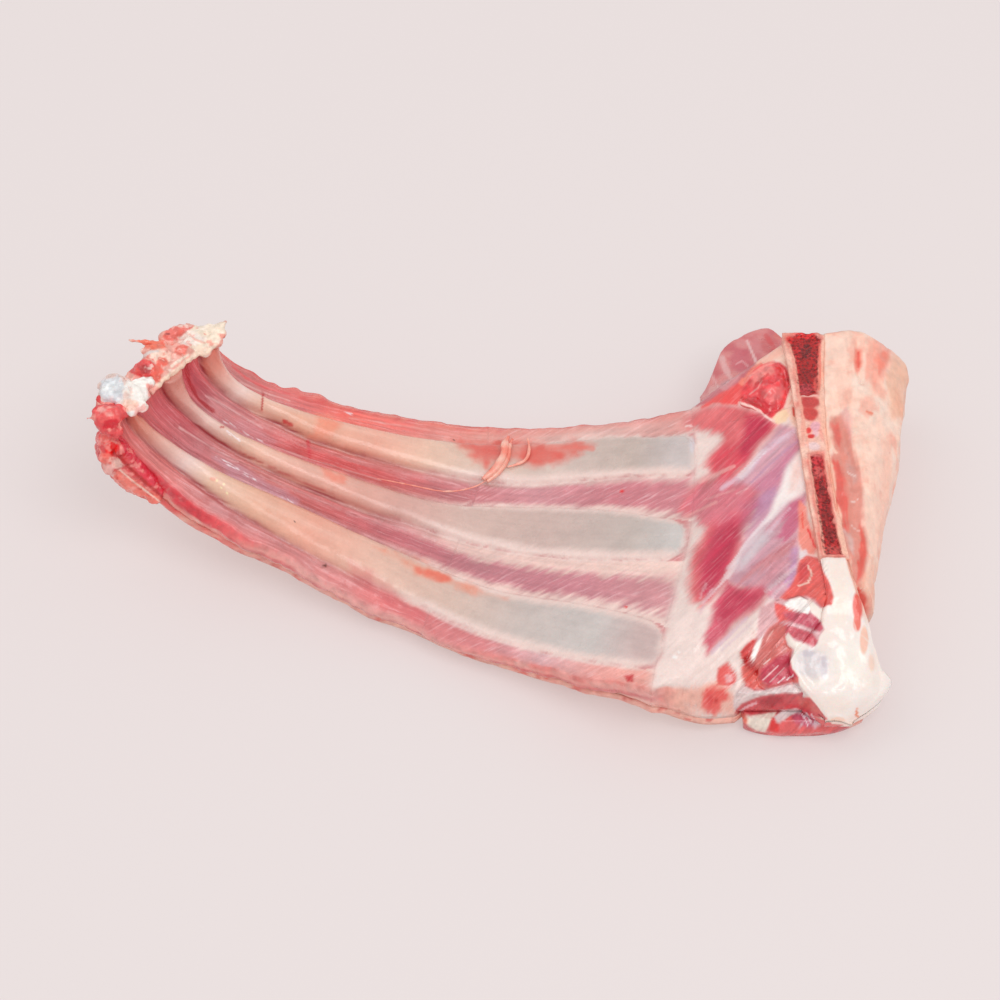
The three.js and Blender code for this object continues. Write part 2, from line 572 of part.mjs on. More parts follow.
// ---------------------------------------------------------------- assembly
const group = new THREE.Group();
group.add(named('meat', meat(), 0xc4606a, 0.5));
group.add(named('outer_fat', outerFat(), 0xe8a48f, 0.5));
RIB_LINES.forEach((_, rib) => group.add(named(`rib_bone_${rib + 1}`, ribBone(rib), 0xe2c4ac, 0.45)));
BREASTBONE_PARTS.forEach((part) => group.add(named(part.name, breastbonePart(part), part.color, 0.6)));
group.add(named('breast_cartilage', breastCartilage(), 0xf0e6dc, 0.4));
group.add(named('brisket_fat', brisket(), 0xf3cdb0, 0.5));
group.add(named('end_muscle', endMuscle(), 0xbb5560, 0.5));
group.add(named('lower_muscle', lowerMuscle(), 0x9c3f4c, 0.5));
group.add(named('skirt_muscle', skirtMuscle(), 0xc24a60, 0.45));
group.add(named('far_meat', farMeat(), 0xc93a3a, 0.5));
group.add(named('membrane_strand', membraneStrand(), 0xe88478, 0.45));
group.add(named('far_flap', farFlap(), 0xd98880, 0.5));
group.add(named('edge_meat', edgeMeat(), 0xd84a4c, 0.5));
SPINE_LUMPS.forEach((lump) => group.add(named(lump.name, spineLump(lump), lump.color, 0.5)));

// The origin goes to the middle of the base.
const bounds = new THREE.Box3().setFromObject(group, true);
const middle = bounds.getCenter(new THREE.Vector3());
group.children.forEach((mesh) => mesh.geometry.translate(-middle.x, -middle.y, -bounds.min.z));

export default group;
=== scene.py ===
"""Looks of the raw lamb ribs: the chest wall with its ribs and muscles, the sawn ends and the fat.

Forms are worked out in millimetres on the same curved sheet as the solids and put in their frame at the end.
t runs along the ribs: 0 at the spine, 1 at the ends of the rib bones, 1.3 at the breast end. v runs across
them: 0 at the far edge, 1 at the near edge. Marks are placed as the camera sees them, in thousandths of the
picture, and tones are red, green and blue from 0 to 255 as they look in its light.
"""

import itertools
import json
import math

import bpy
import numpy as np
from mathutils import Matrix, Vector

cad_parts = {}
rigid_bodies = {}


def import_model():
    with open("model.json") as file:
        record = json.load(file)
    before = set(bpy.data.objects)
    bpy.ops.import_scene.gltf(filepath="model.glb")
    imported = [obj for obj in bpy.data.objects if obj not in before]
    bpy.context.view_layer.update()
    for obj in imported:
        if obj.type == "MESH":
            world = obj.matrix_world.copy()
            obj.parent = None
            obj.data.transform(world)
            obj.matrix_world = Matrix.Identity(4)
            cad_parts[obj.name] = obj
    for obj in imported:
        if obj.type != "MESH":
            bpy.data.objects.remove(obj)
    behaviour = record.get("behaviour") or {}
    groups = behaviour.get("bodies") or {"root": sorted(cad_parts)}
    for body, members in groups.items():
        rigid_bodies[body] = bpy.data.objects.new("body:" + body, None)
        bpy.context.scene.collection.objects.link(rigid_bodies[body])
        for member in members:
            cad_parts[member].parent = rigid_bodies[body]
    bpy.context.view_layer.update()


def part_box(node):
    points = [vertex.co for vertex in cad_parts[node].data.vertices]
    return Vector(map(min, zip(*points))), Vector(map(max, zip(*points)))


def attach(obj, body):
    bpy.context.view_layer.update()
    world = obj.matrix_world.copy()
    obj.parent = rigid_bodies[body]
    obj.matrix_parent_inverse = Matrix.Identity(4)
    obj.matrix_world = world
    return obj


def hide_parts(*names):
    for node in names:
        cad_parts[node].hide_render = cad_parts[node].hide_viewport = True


MM = 0.001

# ---------- the curved sheet, as in the solids
LINES = [
    dict(at=0, head=(-80, 47.5, 54.5), foot=(56.5, 41.5), bow=1.5, stern=(84.3, 57.5, 38.5)),
    dict(at=0.155, head=(-83, 40, 55.5), foot=(57, 26.5), bow=0, stern=(86, 39, 37.5)),
    dict(at=0.475, head=(-92.5, 28, 58), foot=(54.5, -6), bow=1, stern=(88.4, 8, 35)),
    dict(at=0.855, head=(-102, 14, 60), foot=(45, -45), bow=6, stern=(92.5, -29, 30)),
    dict(at=1, head=(-106, 9.5, 61.5), foot=(42, -60.5), bow=2, stern=(66.5, -56, 22.5)),
]
SLOPES = [(0, 106), (0.06, 57), (0.13, 41), (0.2, 22), (0.35, 19), (0.55, 13), (0.75, -13.5), (1, -22)]
SPINE_CUT = 0.02
BREAST_END = 1.3
BREAST_SLOPE = 18
THICKNESS = [(0, 7), (0.07, 10), (0.2, 12.5), (0.5, 13), (0.72, 13), (0.9, 26), (1.05, 40), (1.3, 40)]
FAT_THICKNESS = 3.2
RIB_RISE = (2.4, 1.1)
EDGE_TUCKS = [(0, 0), (0.2, 0), (0.45, 3), (0.8, 2.5), (1, 4.5), (1.2, 0), (1.3, 0)]
EDGE_LIFTS = [(0, 0), (0.25, 0), (0.5, 0.8), (0.7, 1), (0.85, 5), (1, 8.5), (1.1, 6), (1.3, 3)]
MM_PER_T = 165.0

# Borders of the ribs on the hollow side as (t, v): the far side and the near side of each rib.
RIB_BORDERS = [
    ([(0.02, 0.02), (0.059, 0.083), (0.086, 0.115), (0.115, 0.13), (0.167, 0.135), (0.24, 0.142),
      (0.316, 0.13), (0.393, 0.12), (0.49, 0.107), (0.547, 0.095), (0.623, 0.077), (0.7, 0.068),
      (0.777, 0.068), (0.856, 0.075), (0.934, 0.095), (1, 0.107)],
     [(0.02, 0.172), (0.041, 0.21), (0.065, 0.233), (0.114, 0.246), (0.18, 0.25), (0.22, 0.26),
      (0.283, 0.287), (0.321, 0.287), (0.377, 0.281), (0.434, 0.279), (0.545, 0.265), (0.6, 0.26),
      (0.673, 0.255), (0.746, 0.245), (0.821, 0.242), (0.897, 0.247), (0.973, 0.263), (1.016, 0.275)]),
    ([(0.018, 0.378), (0.041, 0.393), (0.062, 0.417), (0.084, 0.44), (0.128, 0.445), (0.18, 0.45),
      (0.255, 0.45), (0.328, 0.443), (0.4, 0.433), (0.474, 0.43), (0.527, 0.422), (0.579, 0.403),
      (0.647, 0.37), (0.718, 0.357), (0.791, 0.362), (0.866, 0.378), (0.941, 0.41), (0.997, 0.432)],
     [(0.016, 0.555), (0.06, 0.54), (0.107, 0.534), (0.13, 0.545), (0.184, 0.56), (0.223, 0.58), (0.297, 0.6),
      (0.369, 0.604), (0.442, 0.606), (0.477, 0.596), (0.512, 0.587), (0.566, 0.586), (0.619, 0.59),
      (0.725, 0.593), (0.85, 0.585), (0.921, 0.575), (0.993, 0.575)]),
    ([(0.02, 0.86), (0.041, 0.81), (0.064, 0.8), (0.108, 0.782), (0.168, 0.775), (0.232, 0.782),
      (0.302, 0.771), (0.391, 0.769), (0.446, 0.775), (0.553, 0.775), (0.607, 0.782), (0.661, 0.789),
      (0.714, 0.787), (0.839, 0.774), (0.913, 0.777), (0.99, 0.795), (1.023, 0.83)],
     [(0.02, 0.93), (0.058, 0.905), (0.106, 0.89), (0.167, 0.898), (0.226, 0.925), (0.299, 0.945),
      (0.423, 0.95), (0.53, 0.948), (0.582, 0.947), (0.636, 0.955), (0.743, 0.963), (0.868, 0.963),
      (0.938, 0.955), (1.013, 0.945)]),
]
RIB_ENDS = [0.995, 0.985, 0.995]

# Muscle on the hollow side beside the breastbone, as [v, t of its left border, t of its right border].
SKIRT = [
    (0.02, 1.02, 1.12), (0.11, 1.03, 1.12), (0.16, 1.06, 1.13), (0.215, 1.09, 1.285), (0.26, 1.1, 1.285),
    (0.34, 1.03, 1.285), (0.5, 1.012, 1.28), (0.62, 1.015, 1.26), (0.72, 1.03, 1.22), (0.82, 1.06, 1.18),
    (0.9, 1.09, 1.15)
]

# The split breast end, by Y.
SPLIT_RIGHT = [
    (59, 95.5), (37, 94.3), (14, 94.6), (-10, 97.2), (-19, 98.6), (-31, 101.5), (-38, 104), (-45, 106),
    (-51, 107.3), (-57, 106), (-61, 102.5)
]
SPLIT_HEIGHT = [
    (59, 38.5), (37, 37.5), (14, 35.5), (-10, 33), (-19, 32), (-31, 30), (-38, 27.5), (-45, 25), (-52, 22),
    (-57, 19.5), (-61, 15.5)
]
BONE_DEPTH = 9
CARTILAGE_LEFT = [(-38, 90.5), (-45, 84.5), (-50, 81.8), (-54, 84), (-58, 88), (-61, 92)]
BORDER_TOP = 57.4
LOWER_TOP = 8.6
BRISKET_SPAN = (59.4, -28.6)
BRISKET_RIGHT = [(60, 113), (57.5, 117), (49, 119.5), (38, 119), (22, 116), (-2, 110), (-29, 105)]
BRISKET_RIM = 27
FLAP_FAR = [(60, 50), (62.4, 56), (65, 63), (67, 68.5), (72, 73), (77, 77), (81, 78), (84, 76.5)]
GAP = 0.35

# The camera: degrees over the floor, metres away, lens and sensor in millimetres, and where it aims.
ELEVATION = 52
DISTANCE = 1.0
LENS = 124.14
SENSOR = 36.0
AIM = (0.0, 6.86, 25.36)
RIB_2_LOW = (-97.493, -12.106)  # lowest X and Y of the second rib bone, which ties this frame to the solids


# ---------- numbers and curves
def ease(x, start, end):
    """0 before start, 1 after end, smooth in between."""
    share = np.clip((x - start) / (end - start), 0, 1)
    return share * share * (3 - 2 * share)


def between(first, last, share):
    """first where the share is 0, last where it is 1."""
    return first + (last - first) * share


def hump(x, width):
    """1 where x is 0, fading away on both sides."""
    return np.exp(-((x / width) ** 2))


def straight(rows, at, column=1):
    """Straight pieces through rows of (place, value, ...)."""
    rows = sorted(rows)
    return np.interp(at, [row[0] for row in rows], [row[column] for row in rows])


def curve(rows, at, column=1):
    """Smooth curve through rows of (place, value, ...)."""
    rows = sorted(rows)
    place = np.array([row[0] for row in rows], float)
    value = np.array([row[column] for row in rows], float)
    at = np.clip(at, place[0], place[-1])
    last = len(place) - 1
    k = np.clip(np.searchsorted(place, at, side="right") - 1, 0, last - 1)
    n = np.arange(last + 1)
    before, after = np.maximum(n - 1, 0), np.minimum(n + 1, last)
    slope = (value[after] - value[before]) / (place[after] - place[before])
    span = place[k + 1] - place[k]
    s = (at - place[k]) / span
    return (value[k] * (2 * s**3 - 3 * s**2 + 1) + slope[k] * span * (s**3 - 2 * s**2 + s)
            + value[k + 1] * (3 * s**2 - 2 * s**3) + slope[k + 1] * span * (s**3 - s**2))


# Large odd numbers that turn the number of a cell into an even spread of values.
PRIMES = (374761393, 668265263, 974634777, 1013904223)
STIR = 1274126177
WORD = 0xFFFFFFFF


def spot(x, y, z=0.0):
    """Points from their three coordinates."""
    return np.stack(np.broadcast_arrays(x, y, z), -1)


def grain(points, size, seed=0):
    """Unevenness from -1 to 1 whose lumps have one size."""
    place = np.asarray(points, float).T / size
    cell = np.floor(place)
    part = place - cell
    part = part**3 * (part * (part * 6 - 15) + 10)
    cell = cell.astype(np.int64)
    total = np.zeros(place.shape[1:])
    for corner in itertools.product((0, 1), repeat=3):
        keys = [cell[i] + corner[i] for i in range(3)]
        mixed = sum(key * prime for key, prime in zip((*keys, seed), PRIMES)) & WORD
        mixed = ((mixed ^ (mixed >> 13)) * STIR) & WORD
        value = ((mixed ^ (mixed >> 16)) & 0xFFFF) / 32767.5 - 1
        weight = np.ones(total.shape)
        for i in range(3):
            weight = weight * (part[i] if corner[i] else 1 - part[i])
        total += value * weight
    return total


def rough(points, size, octaves=3, seed=0):
    """Unevenness with smaller and smaller lumps."""
    total = sum(grain(points, size / 2**k, seed + k) / 2**k for k in range(octaves))
    return total / 1.4


def unit(vectors):
    return vectors / np.linalg.norm(vectors, axis=-1, keepdims=True)


PROFILE_STEPS = 240


def common_profile():
    """Run and height of a rib whose plan length is 1."""
    middle = (np.arange(1, PROFILE_STEPS + 1) - 0.5) / PROFILE_STEPS
    slope = np.radians(straight(SLOPES, middle))
    run = np.concatenate([[0], np.cumsum(np.cos(slope))])
    height = np.concatenate([[0], -np.cumsum(np.sin(slope))])
    return run / run[-1], height / run[-1]


PROFILE = common_profile()


def line_rows(pick):
    return [(line["at"], pick(line)) for line in LINES]


def sheet(t, v):
    """Point of the hollow side at the level of the rib tops."""
    t, v = np.broadcast_arrays(np.asarray(t, float), np.asarray(v, float))
    head = [curve(line_rows(lambda line: line["head"][axis]), v) for axis in range(3)]
    foot = [curve(line_rows(lambda line: line["foot"][axis]), v) for axis in range(2)]
    dx, dy = foot[0] - head[0], foot[1] - head[1]
    length = np.hypot(dx, dy)
    step = np.clip(t, 0, 1) * PROFILE_STEPS
    run, height = [np.interp(step, np.arange(PROFILE_STEPS + 1), column) for column in PROFILE]
    aside = 4 * run * (1 - run) * curve(line_rows(lambda line: line["bow"]), v)
    x = head[0] + dx * run - dy / length * aside
    y = head[1] + dy * run + dx / length * aside
    z = head[2] + height * length
    stern = [straight(line_rows(lambda line: line["stern"][axis]), v) for axis in range(3)]
    s = np.clip((t - 1) / (BREAST_END - 1), 0, 1)
    reach = np.hypot(stern[0] - x, stern[1] - y)
    start, end = [math.tan(math.radians(angle)) * reach for angle in (-SLOPES[-1][1], BREAST_SLOPE)]
    beyond = (z * (2 * s**3 - 3 * s**2 + 1) + start * (s**3 - 2 * s**2 + s)
              + stern[2] * (3 * s**2 - 2 * s**3) + end * (s**3 - s**2))
    return np.stack([between(x, stern[0], s), between(y, stern[1], s), np.where(t <= 1, z, beyond)], -1)


def sheet_axes(t, v):
    """Directions along the ribs, to the far edge and out of the hollow side, and the width for each v."""
    step = 1e-3
    t, v = np.broadcast_arrays(np.asarray(t, float), np.asarray(v, float))
    v0, v1 = np.maximum(v - step, 0), np.minimum(v + step, 1)
    along = sheet(np.minimum(t + step, BREAST_END), v) - sheet(np.maximum(t - step, 0), v)
    across = sheet(t, v0) - sheet(t, v1)
    width = np.linalg.norm(across, axis=-1) / (v1 - v0)
    turn = ease(t, 0.6, 1)[..., None]
    out = unit(np.cross(along, across)) * (1 - turn) + np.array([0, 0, 1.0]) * turn
    return unit(along), unit(across), unit(out), width


def rib_rise(t):
    """How far the ribs stand out of the muscle beside them."""
    return between(*RIB_RISE, ease(t, 0.3, 0.8))


def underside(t, v, extra):
    """Point below the hollow side, "extra" beyond the meat's own underside."""
    _, across, out, _ = sheet_axes(t, v)
    edge = np.abs(2 * v - 1) ** 6
    thick = curve(THICKNESS, t) + extra
    tuck = edge * np.where(v < 0.5, -1, 1) * curve(EDGE_TUCKS, t)
    point = sheet(t, v) - out * thick[..., None] + across * tuck[..., None]
    point[..., 2] = np.maximum(point[..., 2], FAT_THICKNESS - extra) + edge * curve(EDGE_LIFTS, t)
    return point


BORDER_STEPS = 400


def border_x(y):
    """X of the sheet's breast end at a given Y."""
    v = np.linspace(0, 1, BORDER_STEPS)
    points = sheet(BREAST_END, v)
    return np.interp(y, points[::-1, 1], points[::-1, 0])


def sawn_left(y):
    """X of the left side of the sawn breastbone."""
    return border_x(np.minimum(y, BORDER_TOP)) + GAP


UP = math.radians(ELEVATION)
BACK = np.array([0, -math.cos(UP), math.sin(UP)])
RISE = np.array([0, math.sin(UP), math.cos(UP)])
EYE = np.array(AIM) + BACK * DISTANCE / MM
PICTURE = 1000 * LENS / SENSOR


def seen(points):
    """Where the camera sees points, in thousandths of the picture from its top left corner."""
    away = points - EYE
    depth = -(away @ BACK)
    return 500 + PICTURE * away[..., 0] / depth, 500 - PICTURE * (away @ RISE) / depth


def placed(x, y, height):
    """The point at a height that the camera sees at a place in the picture."""
    ray = np.array([(x - 500) / PICTURE, 0, 0]) - RISE * (y - 500) / PICTURE - BACK
    return EYE + ray * (height - EYE[2]) / ray[2]


def corners(outline):
    """The places of an outline or a line, which is written as x,y pairs."""
    return np.array([pair.split(",") for pair in outline.split()], float)


REACH = 40.0  # farthest that an outline or a line is felt, in thousandths of the picture


def close_to(line, x, y):
    """Whether places are in the box around a line, within reach."""
    low, high = line.min(0) - REACH, line.max(0) + REACH
    return (x > low[0]) & (x < high[0]) & (y > low[1]) & (y < high[1])


def inside(outline, x, y):
    """Distance inside a closed outline, negative outside it."""
    outline = corners(outline)
    result = np.full(x.shape, -REACH)
    near = close_to(outline, x, y)
    px, py = x[near], y[near]
    best = np.full(px.shape, 1e9)
    odd = np.zeros(px.shape, bool)
    for (ax, ay), (bx, by) in zip(outline, np.roll(outline, -1, axis=0)):
        best = np.minimum(best, off_piece(px, py, ax, ay, bx, by))
        crosses = (ay > py) != (by > py)
        with np.errstate(divide="ignore", invalid="ignore"):
            odd ^= crosses & (px < (bx - ax) * (py - ay) / (by - ay) + ax)
    result[near] = np.where(odd, best, -best)
    return result


def off_piece(px, py, ax, ay, bx, by):
    """Distance from a straight piece between two places."""
    dx, dy = bx - ax, by - ay
    s = np.clip(((px - ax) * dx + (py - ay) * dy) / (dx * dx + dy * dy), 0, 1)
    return np.hypot(px - ax - s * dx, py - ay - s * dy)


def off_line(line, x, y):
    """Distance from an open line."""
    line = corners(line)
    best = np.full(x.shape, 1.5 * REACH)
    near = close_to(line, x, y)
    for (ax, ay), (bx, by) in zip(line, line[1:]):
        best[near] = np.minimum(best[near], off_piece(x[near], y[near], ax, ay, bx, by))
    return best


# ---------- colours
FILM = 0.026  # light that a wet surface throws back whatever its colour


def light_of(red, green, blue):
    """A colour as it looks, 0 to 255, turned into light."""
    value = np.array([red, green, blue]) / 255
    return np.where(value <= 0.04045, value / 12.92, ((value + 0.055) / 1.055) ** 2.4)


def shade(red, green, blue):
    """The colour below a wet surface that looks like this."""
    return np.maximum(light_of(red, green, blue) - FILM, 0.004)


def blend(under, over, mask):
    """One colour over another, as far as the mask says."""
    mask = np.clip(mask, 0, 1)[..., None]
    return under * (1 - mask) + over * mask


def lit(colour, amount):
    """A colour made lighter, or darker where the amount is negative."""
    return colour * (1 + amount)[:, None]


def toned(rows, at):
    """The colour at a place, from rows of (place, red, green, blue)."""
    tones = np.array([shade(*row[1:]) for row in rows])
    return np.stack([np.interp(at, [row[0] for row in rows], tones[:, k]) for k in range(3)], -1)


def plain(tone, points):
    """One tone for all the points."""
    return np.broadcast_to(shade(*tone), points.shape)


def mottled(points, one, other, share):
    """One tone with another in patches."""
    return blend(plain(one, points), shade(*other), share)


def daub(colour, patches, x, y, wobble):
    """Adds soft oval patches of (x, y, half width, half height, tone, amount)."""
    for px, py, wide, high, tone, amount in patches:
        away = np.hypot((x - px) / wide, (y - py) / high) + 0.3 * wobble
        colour = blend(colour, shade(*tone), (1 - ease(away, 0.65, 1.15)) * amount)
    return colour


def fill(colour, areas, x, y, wobble):
    """Adds outlined areas of (outline, tone, softness of the rim, amount)."""
    for outline, tone, soft, amount in areas:
        mask = ease(inside(outline, x, y) + wobble * soft, -soft, soft)
        colour = blend(colour, shade(*tone), mask * amount)
    return colour


def draw(colour, lines, x, y, wobble):
    """Adds lines of (points, tone, half width, amount)."""
    for line, tone, wide, amount in lines:
        mask = 1 - ease(off_line(line, x, y) + wobble * wide, wide * 0.6, wide * 1.6)
        colour = blend(colour, shade(*tone), mask * amount)
    return colour


# ---------- forms
def clear_selection():
    if bpy.context.object and bpy.context.object.mode != "OBJECT":
        bpy.ops.object.mode_set(mode="OBJECT")
    bpy.ops.object.select_all(action="DESELECT")


def vertices(obj, kind="co"):
    """The place of each vertex, or its normal, one in each row."""
    values = np.empty(len(obj.data.vertices) * 3)
    obj.data.vertices.foreach_get(kind, values)
    return values.reshape(-1, 3)


def block(name, along, across, layers):
    """A closed block of small faces, and the share of each vertex along, from the far side and up."""
    clear_selection()
    bpy.ops.mesh.primitive_grid_add(x_subdivisions=along, y_subdivisions=across, size=1)
    obj = bpy.context.object
    obj.name = obj.data.name = name
    bpy.ops.object.mode_set(mode="EDIT")
    bpy.ops.mesh.select_all(action="SELECT")
    bpy.ops.mesh.extrude_region_move(TRANSFORM_OT_translate={"value": (0, 0, 1)})
    bpy.ops.mesh.select_all(action="DESELECT")
    bpy.ops.mesh.select_mode(type="EDGE")
    bpy.ops.object.mode_set(mode="OBJECT")
    ends = np.empty(len(obj.data.edges) * 2, int)
    obj.data.edges.foreach_get("vertices", ends)
    height = vertices(obj)[ends.reshape(-1, 2), 2]
    obj.data.edges.foreach_set("select", np.abs(height[:, 0] - height[:, 1]) > 0.5)
    bpy.ops.object.mode_set(mode="EDIT")
    if layers > 1:
        bpy.ops.mesh.subdivide(number_cuts=layers - 1)
    bpy.ops.mesh.select_mode(type="VERT")
    bpy.ops.object.mode_set(mode="OBJECT")
    spots = vertices(obj)
    return obj, spots[:, 0] + 0.5, 0.5 - spots[:, 1], spots[:, 2]


def move_vertices(obj, points):
    """Puts the vertices at points of the sheet's frame, in millimetres."""
    obj.data.vertices.foreach_set("co", ((points + SHIFT) * MM).ravel())
    obj.data.update()


def places_of(obj):
    """The vertices in the sheet's frame, in millimetres."""
    return vertices(obj) / MM - SHIFT


def facing_out(obj):
    """Turns all faces outwards and smooths them."""
    clear_selection()
    bpy.context.view_layer.objects.active = obj
    obj.select_set(True)
    bpy.ops.object.mode_set(mode="EDIT")
    bpy.ops.mesh.select_all(action="SELECT")
    bpy.ops.mesh.normals_make_consistent(inside=False)
    bpy.ops.object.mode_set(mode="OBJECT")
    bpy.ops.object.shade_smooth()


def thin_out(obj, hidden, share):
    """Fewer faces where a surface is never seen."""
    bpy.context.view_layer.objects.active = obj
    bpy.ops.object.mode_set(mode="EDIT")
    bpy.ops.mesh.select_all(action="DESELECT")
    bpy.ops.object.mode_set(mode="OBJECT")
    obj.data.vertices.foreach_set("select", hidden)
    bpy.ops.object.mode_set(mode="EDIT")
    bpy.ops.mesh.select_less()
    bpy.ops.mesh.decimate(ratio=share)
    bpy.ops.object.mode_set(mode="OBJECT")


def ball(centre, radii):
    """A round lump with a radius along each axis, in millimetres."""
    bpy.ops.mesh.primitive_ico_sphere_add(subdivisions=3, radius=1)
    obj = bpy.context.object
    move_vertices(obj, vertices(obj) * np.array(radii) + centre)
    return obj


def grown(name, balls, base, fine, relief, seed):
    """One body grown from balls of (picture x, picture y, height, radii) and a base piece."""
    clear_selection()
    pieces = [ball(placed(x, y, height), radii) for x, y, height, *radii in balls] + base
    for piece in pieces:
        piece.select_set(True)
    bpy.context.view_layer.objects.active = pieces[-1]
    bpy.ops.object.join()
    obj = bpy.context.object
    obj.name = obj.data.name = name
    merged = {"mode": "VOXEL", "voxel_size": fine * MM}
    softened = {"factor": 0.5, "iterations": 16}
    for kind, settings in (("REMESH", merged), ("SMOOTH", softened)):
        step = obj.modifiers.new(kind, kind)
        for key, value in settings.items():
            setattr(step, key, value)
        bpy.ops.object.modifier_apply(modifier=step.name)
    points = places_of(obj)
    bumps = relief * (rough(points, 1.8, 3, seed) + 1.5 * rough(points, 4.5, 3, seed + 1))
    move_vertices(obj, points + vertices(obj, "normal") * bumps[:, None])
    return obj


def tell(obj, name, values):
    """Keeps a value or a colour for each vertex, for the finish to read."""
    values = np.asarray(values, float)
    if name == "paint":
        values = np.concatenate([values, np.ones((len(values), 1))], 1)
        kind, field = "FLOAT_COLOR", "color"
    elif values.ndim == 2:
        kind, field = "FLOAT_VECTOR", "vector"
    else:
        kind, field = "FLOAT", "value"
    obj.data.attributes.new(name, kind, "POINT").data.foreach_set(field, values.ravel())


def complete(obj, material, slot, nodes, colour, wet, **told):
    """Gives a piece its colours and its finish, and ties it to the solids that it replaces."""
    tell(obj, "paint", colour)
    tell(obj, "wet", np.clip(wet, 0, 1))
    for name, values in told.items():
        tell(obj, name, values)
    facing_out(obj)
    obj.data.materials.append(material)
    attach(obj, "root")
    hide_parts(*nodes)


# ---------- finishes
# How many grains of a pattern there are in a metre.
FINE_GRAINS = 1100.0
COARSE_GRAINS = 260.0
BONE_CELLS = 1050.0
BONE_FINE_GRAINS = 1500.0
BONE_COARSE_GRAINS = 330.0
RELIEF_DEPTH = 0.6 * MM
SOFT_DEPTH = 0.8 * MM  # how deep light goes into the flesh
SOFT_SPREAD = (1.0, 0.35, 0.25)
THREAD_TONE = (246, 222, 224)
BONE_BRIGHT = (232, 66, 70)
BONE_PIT = (104, 4, 20)
FLOOR_TONE = (232, 222, 221)
GLOW = 0.5  # share of the floor's light that no shadow takes away


class Amount:
    """A number that varies over a surface. Arithmetic on it adds the nodes that work it out."""

    def __init__(self, finish, socket):
        self.finish = finish
        self.socket = socket

    def worked(self, kind, *values):
        return self.finish.add("ShaderNodeMath", {"operation": kind}, dict(enumerate(values)))

    def __add__(self, other):
        return self.worked("ADD", self, other)

    def __radd__(self, other):
        return self.worked("ADD", other, self)

    def __sub__(self, other):
        return self.worked("SUBTRACT", self, other)

    def __rsub__(self, other):
        return self.worked("SUBTRACT", other, self)

    def __mul__(self, other):
        return self.worked("MULTIPLY", self, other)

    def __rmul__(self, other):
        return self.worked("MULTIPLY", other, self)


class Finish:
    """A material, made node by node."""

    def __init__(self, name):
        self.material = bpy.data.materials.new(name)
        self.material.use_nodes = True
        self.tree = self.material.node_tree
        self.shader = self.tree.nodes["Principled BSDF"]

    def add(self, kind, settings=None, values=None, output=0):
        node = self.tree.nodes.new(kind)
        for key, value in (settings or {}).items():
            setattr(node, key, value)
        for key, value in (values or {}).items():
            self.feed(node.inputs[key], value)
        return Amount(self, node.outputs[output])

    def feed(self, socket, value):
        if isinstance(value, Amount):
            self.tree.links.new(value.socket, socket)
        else:
            socket.default_value = value

    def told(self, name, output="Fac"):
        return self.add("ShaderNodeAttribute", {"attribute_name": name}, output=output)

    def spots(self):
        return self.add("ShaderNodeTexCoord", output="Object")

    def noise(self, place, scale, roughness=0.55, distortion=0.0):
        values = {"Vector": place, "Scale": scale, "Detail": 3.0, "Roughness": roughness}
        return self.add("ShaderNodeTexNoise", values={**values, "Distortion": distortion})

    def raised(self, height, strength):
        """A surface that follows a height."""
        values = {"Strength": strength, "Distance": RELIEF_DEPTH, "Height": height}
        return self.add("ShaderNodeBump", values=values)

    def ramp(self, value, low, high):
        """0 below low, 1 above high."""
        return self.add("ShaderNodeMapRange", {"clamp": True}, {0: value, 1: low, 2: high, 3: 0.0, 4: 1.0})

    def times(self, colour, amount):
        """The colour made lighter or darker."""
        return self.add("ShaderNodeVectorMath", {"operation": "SCALE"}, {"Vector": colour, "Scale": amount})

    def mixed(self, under, over, amount):
        node = self.tree.nodes.new("ShaderNodeMix")
        node.data_type = "RGBA"
        self.feed(node.inputs["Factor"], amount)
        for socket, value in zip([s for s in node.inputs if s.type == "RGBA"], (under, over)):
            self.feed(socket, value)
        return Amount(self, next(s for s in node.outputs if s.type == "RGBA"))

    def set(self, **values):
        for name, value in values.items():
            self.feed(self.shader.inputs[name.replace("_", " ")], value)


def flesh(name, roughness, bump, soft, fibre=0.0, gloss=0.3, mottle=0.16):
    """Painted flesh: fine mottling, pale and dark fibres along the told direction, and a wet sheen."""
    finish = Finish(name)
    spots = finish.spots()
    fine = finish.noise(spots, FINE_GRAINS, 0.6)
    coarse = finish.noise(spots, COARSE_GRAINS)
    lightness = 1 + (fine - 0.5) * mottle + (coarse - 0.5) * mottle
    relief = fine * 0.5 + coarse * 0.6
    paint = finish.told("paint", "Color")
    if fibre:
        strands = finish.noise(finish.told("strands", "Vector"), 1.0, distortion=0.3)
        amount = finish.told("fibrous")
        lightness = lightness + (strands - 0.5) * amount * fibre
        relief = relief + strands * amount * 1.4
        pale = finish.ramp(strands, 0.54, 0.72) * finish.told("threads")
        paint = finish.mixed(paint, (*shade(*THREAD_TONE), 1.0), pale)
    wet = finish.told("wet")
    finish.set(Base_Color=finish.times(paint, lightness))
    finish.set(Roughness=roughness - wet * 0.2 + (coarse - 0.5) * 0.25)
    finish.set(Coat_Weight=wet * gloss, Coat_Roughness=0.1, Specular_IOR_Level=0.45)
    finish.set(Subsurface_Weight=soft, Subsurface_Radius=SOFT_SPREAD, Subsurface_Scale=SOFT_DEPTH)
    finish.set(Normal=finish.raised(relief, bump))
    return finish.material


